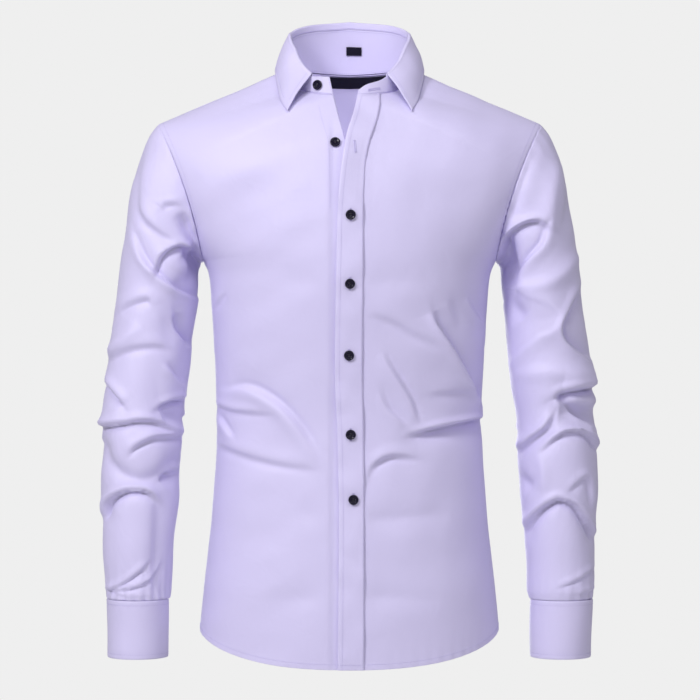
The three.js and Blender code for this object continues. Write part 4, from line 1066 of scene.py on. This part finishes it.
def cuff_surface(side):
    def surface(u, v):
        # The cuff's lower corners are cut round, so its rows end a little short of its ends there.
        angle = 2 * math.pi * (SLIT_TURN - u)
        lapped = LAP_RISE * smooth(0.92, 0.99, u)
        middle = (CUFF.out_x + CUFF.in_x) / 2 + 1.2 * (1 - v)
        half = (CUFF.out_x - CUFF.in_x) / 2 + lapped + 0.8 * (1 - v)
        y = CUFF.y + 2 * (1 - v) - (CUFF.deep + lapped) * np.sin(angle)
        reach = np.minimum(u, 1 + CUFF_LAP - u) * CUFF.length
        corner = np.clip(1 - reach / CUFF.corner, 0, 1)
        low = CUFF.corner * (1 - np.sqrt(np.maximum(0, 1 - corner**2)))
        z = mix(CUFF.top, CUFF.bottom + low, v)
        return points(side * (middle + half * np.cos(angle)), y, z)

    return surface


for name, side, seed in [("right", RIGHT, 81), ("left", LEFT, 91)]:
    cuff = Panel(cuff_surface(side), seam_steps(0, 1 + CUFF_LAP, 96, 270), seam_steps(0, 1, 24, 67), -side)
    edge = np.minimum(np.minimum(cuff.left, cuff.right), np.minimum(cuff.low, cuff.high))
    height = sunk_edge(edge, deep=0.55, reach=1.0) + sunk_edge(edge - CUFF_ROW, deep=0.22, reach=1.0)
    height += puckered(np.abs(edge - 3), cuff.left + cuff.low, seed, deep=0.2, wave=8, reach=5)
    height += unevenness(cuff.left, cuff.low, seed + 1, size=0.45)
    cuff.raise_by(height)
    cuffs[name] = cuff
    lay_cloth(f"cuff_{name}", cuff, DOUBLED)
    sew_edges(f"cuff_{name}", cuff, *((side, CUFF_ROW) for side in ("low", "high", "left", "right")))

# Collar band: a tall stand of two layers over an interlining, sewn to the neck seam, with a lapping end on
# each side for the collar button. Its upper edge drops towards the front.
STAND_TOP = SimpleNamespace(half=69.5, y=-3, back=57, front=59)
STAND_INSET = 0.3
STAND_EDGE = dict(
    turn=(0, 37, 60, 75, 90, 105, 115, 124, 134, 142, 150, 164, 173),
    top=(60, 55.5, 50, 45, 40.5, 31.5, 23.5, 11.5, 1.5, -5, -5.5, -6, -6),
    top_left=(60, 55.5, 50, 45, 40.5, 31.5, 23.5, 11.5, 1.5, -5, -10, -15.5, -23.5),
)
band = columns(STAND_EDGE)


def stand_surface(u, v):
    slant = (BAND_END.right - BAND_END.right_top) * v * (1 - smooth(0, 0.06, u))
    turn = mix(-BAND_END.right, BAND_END.left, u) + slant
    top = np.where(turn < 0, band.top(-turn), band.top_left(np.abs(turn)))
    foot = loop(NECK, turn, -STAND_INSET, neck_height(np.abs(turn)))
    return mix(foot, loop(STAND_TOP, turn, 0, top), v[..., None])


def stand_place(turn):
    return (turn + BAND_END.right) / (BAND_END.left + BAND_END.right)


STAND_OUT = -1
stand = Panel(stand_surface, seam_steps(0, 1, 170, 400), seam_steps(0, 1, 20, 45), STAND_OUT)
height = sunk_edge(stand.low, deep=0.4, reach=0.9)
height += sunk_edge(np.minimum(stand.left, stand.right), deep=0.4, reach=0.9)
height += unevenness(stand.left, stand.low, 101, size=0.3)
stand.raise_by(height)
lay_cloth("collar_stand", stand, DOUBLED)


def inside_line(panel, side):
    """A row of stitches on the inner face, where it shows inside the neck."""
    places, normals = edge_line(panel, side, SEAM_ROW)
    return places - normals * DOUBLED, -normals


stand_rows = [(side, SEAM_ROW) for side in ("low", "left", "right")]
inside_rows = [inside_line(stand, side) for side in ("low", "high")]
sew_edges("collar_stand", stand, *stand_rows, more=inside_rows)

# Collar leaf: two layers over a firm interlining, cut with two spread points. It rises from the band, rolls
# over and falls to the shoulders, with a row of stitches 6 mm inside its edges.
LEAF_EDGE = dict(
    turn=(0, 37, 60, 75, 90, 105, 115, 124, 134, 142),
    fold=(69, 64.5, 58.5, 53, 48.5, 38.5, 30, 17, 6, -1),
    edge_x=(0, 53.5, 76, 84.5, 87.5, 87, 86, 84, 80, 71.5),
    edge_y=(72, 58, 36, 16, -3, -12, -21, -33, -55, -78),
    edge_z=(-1.5, -3, -3.5, -1.5, 4.5, 1, -6, -16, -31, -46.5),
)
LEAF_END = 142
LEAF_ROW = 6
ROLL = 2.1
LEAF_BOW = 2.5
leaf_line = columns(LEAF_EDGE)


def leaf_surface(u, v):
    turn = mix(-LEAF_END, LEAF_END, u)
    at = np.abs(turn)
    fold = leaf_line.fold(at) - ROLL
    low = band.top(at)
    rise = loop(STAND_TOP, turn, -DOUBLED, mix(low, np.maximum(fold, low + 0.2), np.clip(v / 0.1, 0, 1)))
    roll = math.pi * np.clip((v - 0.1) / 0.4, 0, 1)
    over = loop(STAND_TOP, turn, -DOUBLED + ROLL * (1 - np.cos(roll)), fold + ROLL * np.sin(roll))
    fall = np.clip((v - 0.5) / 0.5, 0, 1)
    high = loop(STAND_TOP, turn, -DOUBLED + 2 * ROLL, fold)
    edge = points(np.sign(turn) * leaf_line.edge_x(at), leaf_line.edge_y(at), leaf_line.edge_z(at))
    away = points(np.sin(np.radians(turn)), np.cos(np.radians(turn)), 0.3)
    away /= np.linalg.norm(away, axis=-1, keepdims=True)
    down = mix(high, edge, fall[..., None]) + away * (LEAF_BOW * np.sin(math.pi * fall))[..., None]
    return np.where((v <= 0.1)[..., None], rise, np.where((v <= 0.5)[..., None], over, down))


leaf_vs = np.concatenate([[0, 0.03], np.linspace(0.1, 0.5, 13), seam_steps(0.5, 1, 28, 65)[3:]])
leaf = Panel(leaf_surface, seam_steps(0, 1, 170, 400), leaf_vs, 1)
edge = np.minimum(np.minimum(leaf.left, leaf.right), leaf.high)
height = sunk_edge(edge, deep=0.45, reach=0.9)
height += sunk_edge(edge - LEAF_ROW, deep=0.2, reach=1.0) * (leaf.v > 0.3)
height += unevenness(leaf.left, leaf.low, 111, size=0.35) * smooth(0.5, 0.7, leaf.v)
leaf.raise_by(height)
lay_cloth("collar_leaf", leaf, DOUBLED)
leaf_rows = [(side, LEAF_ROW, lambda u, v: (v > 0.5) & (v < 0.91)) for side in ("left", "right")]
edge_row = ("high", LEAF_ROW, lambda u, v: (u > 0.016) & (u < 0.984))
sew_edges("collar_leaf", leaf, edge_row, *leaf_rows, ("low", 1.6))

# Labels: a wide one sewn inside the yoke below the neck seam, and a small size tab above it on the band.
# They are plain woven tape here, with nothing on them.
TAPE_THICK = 0.9
MAIN_LABEL = SimpleNamespace(left=-0.085, right=0.115, low=0.79, high=0.98)
SIZE_LABEL = SimpleNamespace(left=-3.2, right=12.4, low=0.43, high=0.62)
NAVY = (0.007, 0.006, 0.017, 1)
NAVY_SLUB = (0.014, 0.012, 0.031, 1)


def make_tape():
    material, tree, shader = new_material("navy_tape", NAVY, 0.62, Sheen_Weight=0.02, Specular_IOR_Level=0.12)
    weave, _ = placed_weave(tree, 0.6 * MM, 0.5 * MM)
    colour = between(tree, weave["Slub"], NAVY, NAVY_SLUB)
    joined(tree, shader, {"Base Color": colour, "Normal": bumps(tree, weave["Height"], 0.12 * MM)})
    return material


tape = make_tape()
for node, under, depth, us, vs, out in [
    (
        "label_main", yoke, CLOTH + 2 * LIFT,
        seam_steps(MAIN_LABEL.left, MAIN_LABEL.right, 40, 67),
        seam_steps(MAIN_LABEL.low, MAIN_LABEL.high, 10, 17), -1,
    ),
    (
        "label_size", stand, DOUBLED + LIFT,
        seam_steps(stand_place(SIZE_LABEL.left), stand_place(SIZE_LABEL.right), 10, 18),
        seam_steps(SIZE_LABEL.low, SIZE_LABEL.high, 6, 10), STAND_OUT,
    ),
]:

    def label_surface(u, v, under=under, depth=depth):
        places, normals = under.at(u, v)
        return places - normals * depth

    label = Panel(label_surface, us, vs, out)
    piece_of(cloth_mesh(f"{node}_tape", label, TAPE_THICK), tape, node)

# Buttonholes: slits with a bar of close satin stitches down each side and across both ends. The placket's
# are upright, and those of the band and cuffs run along them.
HOLE = SimpleNamespace(long=15.0, bar=1.25, slit=0.5, high=0.42, rib=0.16, around=96, sides=8)
BUTTON_PLACES = [
    ("button_3", 0.5, -167.5),
    ("button_4", 0.9, -245.5),
    ("button_5", 0, -327.3),
    ("button_6", 2, -417.5),
    ("button_7", 5.4, -490.3),
]
OPEN_HOLE = ("open_hole", 6.3, -89)
BAND_HOLE = SimpleNamespace(turn=155.5, high=0.42)


def worked_hole(name, place, normal, way):
    """A buttonhole lying on the cloth: a stadium-shaped ring ribbed by its stitches, round a dark slit."""
    across = normal.cross(way).normalized()
    way = across.cross(normal).normalized()
    straight = HOLE.long / 2 - HOLE.bar
    middle = (HOLE.slit + HOLE.bar) / 2
    verts = []
    for i in range(HOLE.around):
        turn = 2 * math.pi * i / HOLE.around
        end = straight if math.cos(turn) > 0 else -straight
        ahead = end * min(1, abs(math.cos(turn)) * 3) + middle * math.cos(turn)
        aside = middle * (1 if math.sin(turn) > 0 else -1) * min(1, abs(math.sin(turn)) * 1.6)
        rib = 1 + HOLE.rib * (i % 2)
        centre = place + (way * ahead + across * aside)
        outwards = (way * math.cos(turn) * 0.4 + across * math.sin(turn)).normalized()
        for k in range(HOLE.sides):
            bend = 2 * math.pi * k / HOLE.sides
            reach = outwards * math.cos(bend) * HOLE.bar / 2 + normal * math.sin(bend) * HOLE.high * rib
            verts.append((centre + reach) * MM)
    faces = [[corner % len(verts) for corner in face] for face in ring_faces(HOLE.around, HOLE.sides)]
    return piece_of(new_mesh(name, verts, faces), lavender_thread, None)


def vector_at(panel, u, v):
    places, normals = panel.at(np.array([u]), np.array([v]))
    return Vector(places[0]), Vector(normals[0])


for name, x, z in [*BUTTON_PLACES, OPEN_HOLE]:
    spot, normal = vector_at(placket, *placket.near(x, z))
    worked_hole(name.replace("button", "buttonhole"), spot, normal, Vector((0, 0, 1)))
spot, normal = vector_at(stand, stand_place(BAND_HOLE.turn), BAND_HOLE.high)
beyond, _ = vector_at(stand, stand_place(BAND_HOLE.turn + 3), BAND_HOLE.high)
worked_hole("buttonhole_band", spot, normal, beyond - spot)

# Buttons: turned resin, dark navy, 11.5 mm across, with a raised rim round a shallow dish and four holes.
# Each is sewn on with dark thread in two bars and stands off the cloth on a short shank of it.
BUTTON = SimpleNamespace(radius=5.75, thick=2.4, rim=1.3, dish=0.6, hole=0.75, hole_place=1.45, clear=0.5)
COLLAR_BUTTON = SimpleNamespace(turn=-148.3, high=0.5)
LOOSE_BUTTON = SimpleNamespace(x=-15.9, z=-84)
CUFF_BUTTON = SimpleNamespace(round=1.045, high=0.5)


RESIN = (0.011, 0.0095, 0.026, 1)
RESIN_SWIRL = ((0.006, 0.005, 0.014, 1), (0.016, 0.013, 0.034, 1))
STRAND = SimpleNamespace(count=4, apart=0.3, thick=0.17, sides=6, steps=9, bow=0.95)
SHANK = SimpleNamespace(foot=1.9, top=1.6, long=1.2, sunk=0.3)


def make_resin():
    material, tree, shader = new_material(
        "navy_resin", RESIN, 0.3, Specular_IOR_Level=0.14, Coat_Weight=0.04, Coat_Roughness=0.15
    )
    where = shader_node(tree, "TexCoord").outputs["Object"]
    swirl = shader_node(tree, "TexNoise", {"Scale": 420, "Distortion": 1.5, "Vector": where}).outputs["Fac"]
    fine = shader_node(tree, "TexNoise", {"Scale": 2600, "Vector": where}).outputs["Fac"]
    rough = worked_out(tree, "ADD", worked_out(tree, "MULTIPLY", fine, 0.16), 0.14)
    joined(tree, shader, {"Base Color": between(tree, swirl, *RESIN_SWIRL), "Roughness": rough})
    return material


resin = make_resin()
navy_thread = make_thread("navy_thread", RESIN_SWIRL[1])


def formed(name, form):
    mesh = bpy.data.meshes.new(name)
    form.to_mesh(mesh)
    form.free()
    return mesh


def shown(mesh):
    thing = bpy.data.objects.new(mesh.name, mesh)
    bpy.context.scene.collection.objects.link(thing)
    return thing


def turned_button():
    """The turned form, with its four holes cut through."""
    half = BUTTON.thick / 2
    full, rim_in = BUTTON.radius, BUTTON.radius - BUTTON.rim
    profile = [
        (0.001, -half), (full - 0.9, -half), (full - 0.25, -half + 0.3), (full, -half + 0.9),
        (full, half - 0.8), (full - 0.2, half - 0.3), (full - 0.6, half), (rim_in + 0.3, half),
        (rim_in - 0.1, half - 0.15), (rim_in - 0.7, half - BUTTON.dish), (0.001, half - BUTTON.dish - 0.05),
    ]
    around = 48
    turns = [2 * math.pi * i / around for i in range(around)]
    form = bmesh.new()
    verts = [
        form.verts.new((radius * math.cos(t) * MM, radius * math.sin(t) * MM, z * MM))
        for radius, z in profile
        for t in turns
    ]
    for face in ring_faces(len(profile) - 1, around):
        form.faces.new([verts[corner] for corner in face])
    bmesh.ops.remove_doubles(form, verts=form.verts, dist=0.01 * MM)
    drills = bmesh.new()
    for i in range(4):
        turn = math.pi / 4 + i * math.pi / 2
        middle = Vector((math.cos(turn), math.sin(turn), 0)) * BUTTON.hole_place * MM
        bmesh.ops.create_cone(
            drills, cap_ends=True, segments=14, radius1=BUTTON.hole * MM, radius2=BUTTON.hole * MM,
            depth=4 * BUTTON.thick * MM, matrix=Matrix.Translation(middle),
        )
    turned, drill = shown(formed("button_form", form)), shown(formed("drills", drills))
    cut = turned.modifiers.new("holes", "BOOLEAN")
    cut.operation = "DIFFERENCE"
    cut.object = drill
    drilled = bpy.data.meshes.new_from_object(turned.evaluated_get(bpy.context.evaluated_depsgraph_get()))
    for tool in (turned, drill):
        bpy.data.objects.remove(tool)
    return drilled


def sewing_thread():
    """Two bars of thread over the button's holes, four strands each, and the wound shank beneath."""
    form = bmesh.new()
    top = BUTTON.thick / 2 - BUTTON.dish
    reach = BUTTON.hole_place * math.cos(math.pi / 4)
    for row in (-1, 1):
        for strand in range(STRAND.count):
            aside = row * reach + (strand - 1.5) * STRAND.apart
            verts = []
            for step in range(STRAND.steps):
                share = step / (STRAND.steps - 1)
                ahead = mix(-reach - 0.25, reach + 0.25, share)
                lift = top - 0.5 + STRAND.bow * math.sin(math.pi * share) ** 0.5
                for k in range(STRAND.sides):
                    bend = 2 * math.pi * k / STRAND.sides
                    off = STRAND.thick * math.cos(bend), STRAND.thick * math.sin(bend)
                    verts.append(form.verts.new(Vector((ahead, aside + off[0], lift + off[1])) * MM))
            for face in ring_faces(STRAND.steps - 1, STRAND.sides):
                form.faces.new([verts[corner] for corner in face])
    middle = SHANK.long / 2 - BUTTON.thick / 2 - BUTTON.clear - SHANK.sunk
    bmesh.ops.create_cone(
        form, cap_ends=True, segments=20, radius1=SHANK.foot * MM, radius2=SHANK.top * MM,
        depth=SHANK.long * MM, matrix=Matrix.Translation((0, 0, middle * MM)),
    )
    return formed("button_thread", form)


button_parts = [("turned", turned_button(), resin), ("thread", sewing_thread(), navy_thread)]
dice = np.random.default_rng(7)


def sew_button(name, spot, normal):
    turn = Matrix.Rotation(dice.uniform(-0.5, 0.5), 3, "Z").to_quaternion()
    way = normal.to_track_quat("Z", "Y") @ turn
    centre = spot + normal * (BUTTON.clear + BUTTON.thick / 2 + HOLE.high * 0.4)
    for part, mesh, material in button_parts:
        own = mesh.copy()
        own.name = f"{name}_{part}"
        own.shade_smooth()
        own.transform(Matrix.Translation(centre * MM) @ way.to_matrix().to_4x4())
        piece_of(own, material, name if part == "turned" else None)


for name, x, z in BUTTON_PLACES:
    sew_button(name, *vector_at(placket, *placket.near(x, z)))
sew_button("button_2", *vector_at(right_front, *right_front.near(LOOSE_BUTTON.x, LOOSE_BUTTON.z)))
sew_button("button_1", *vector_at(stand, stand_place(COLLAR_BUTTON.turn), COLLAR_BUTTON.high))
for name, cuff in cuffs.items():
    spot, normal = vector_at(cuff, CUFF_BUTTON.round, CUFF_BUTTON.high)
    sew_button(f"cuff_button_{name}", spot, normal)
    beyond, _ = vector_at(cuff, CUFF_BUTTON.round + 0.02, CUFF_BUTTON.high)
    worked_hole(f"cuff_buttonhole_{name}", spot, normal, beyond - spot)

# The studio: a pale floor well below the hem, a pale plain background, a broad soft light high on the
# photograph's left, weaker ones on its right, from above and from behind, and a small one inside the body,
# for its back as seen through the open neck.
FLOOR_Z = -1.25
FLOOR_RADIUS = 2.2
BACKGROUND = 0.863
AMBIENT = 0.32

for name, size, power, place, target in [
    ("key", 0.8, 62, (-1.95, -2.3, 1.45), (0, 0, -0.3)),
    ("fill", 1.8, 13, (1.6, -2.4, 0.7), (0, 0, -0.3)),
    ("top", 0.9, 14, (-0.2, -1.5, 1.6), (0, 0.05, -0.02)),
    ("behind", 1.4, 28, (-0.3, 3.2, -0.4), (0, 0, -0.3)),
    ("hollow", 0.1, 0.13, (0, -0.01, -0.17), (0, 0.06, -0.02)),
]:
    data = bpy.data.lights.new(name, "AREA")
    data.shape = "DISK"
    data.size = size
    data.energy = power
    lamp = bpy.data.objects.new(name, data)
    lamp.location = place
    way = Vector(target) - Vector(place)
    lamp.rotation_euler = way.to_track_quat("-Z", "Y").to_euler()
    bpy.context.scene.collection.objects.link(lamp)

world = bpy.data.worlds.new("studio")
world.use_nodes = True
sky = world.node_tree
sky.nodes.clear()
seen, around = (
    shader_node(sky, "Background", {"Color": (grey, grey, grey, 1)}).outputs[0]
    for grey in (BACKGROUND, AMBIENT)
)
ray = shader_node(sky, "LightPath").outputs["Is Camera Ray"]
choice = shader_node(sky, "MixShader", {"Fac": ray, 1: around, 2: seen})
shader_node(sky, "OutputWorld", {"Surface": choice.outputs[0]})
bpy.context.scene.world = world
bpy.context.scene.view_settings.view_transform = "Standard"

floor_form = bmesh.new()
bmesh.ops.create_circle(floor_form, cap_ends=True, segments=96, radius=FLOOR_RADIUS)
floor = shown(formed("floor", floor_form))
floor.location = (0, 0, FLOOR_Z)
pale, tree, shader = new_material("pale_floor", (0.82, 0.82, 0.82, 1), 0.7)
grain = shader_node(tree, "TexNoise", {"Scale": 60}).outputs["Fac"]
joined(tree, shader, {"Normal": bumps(tree, grain, 0.2 * MM)})
floor.data.materials.append(pale)
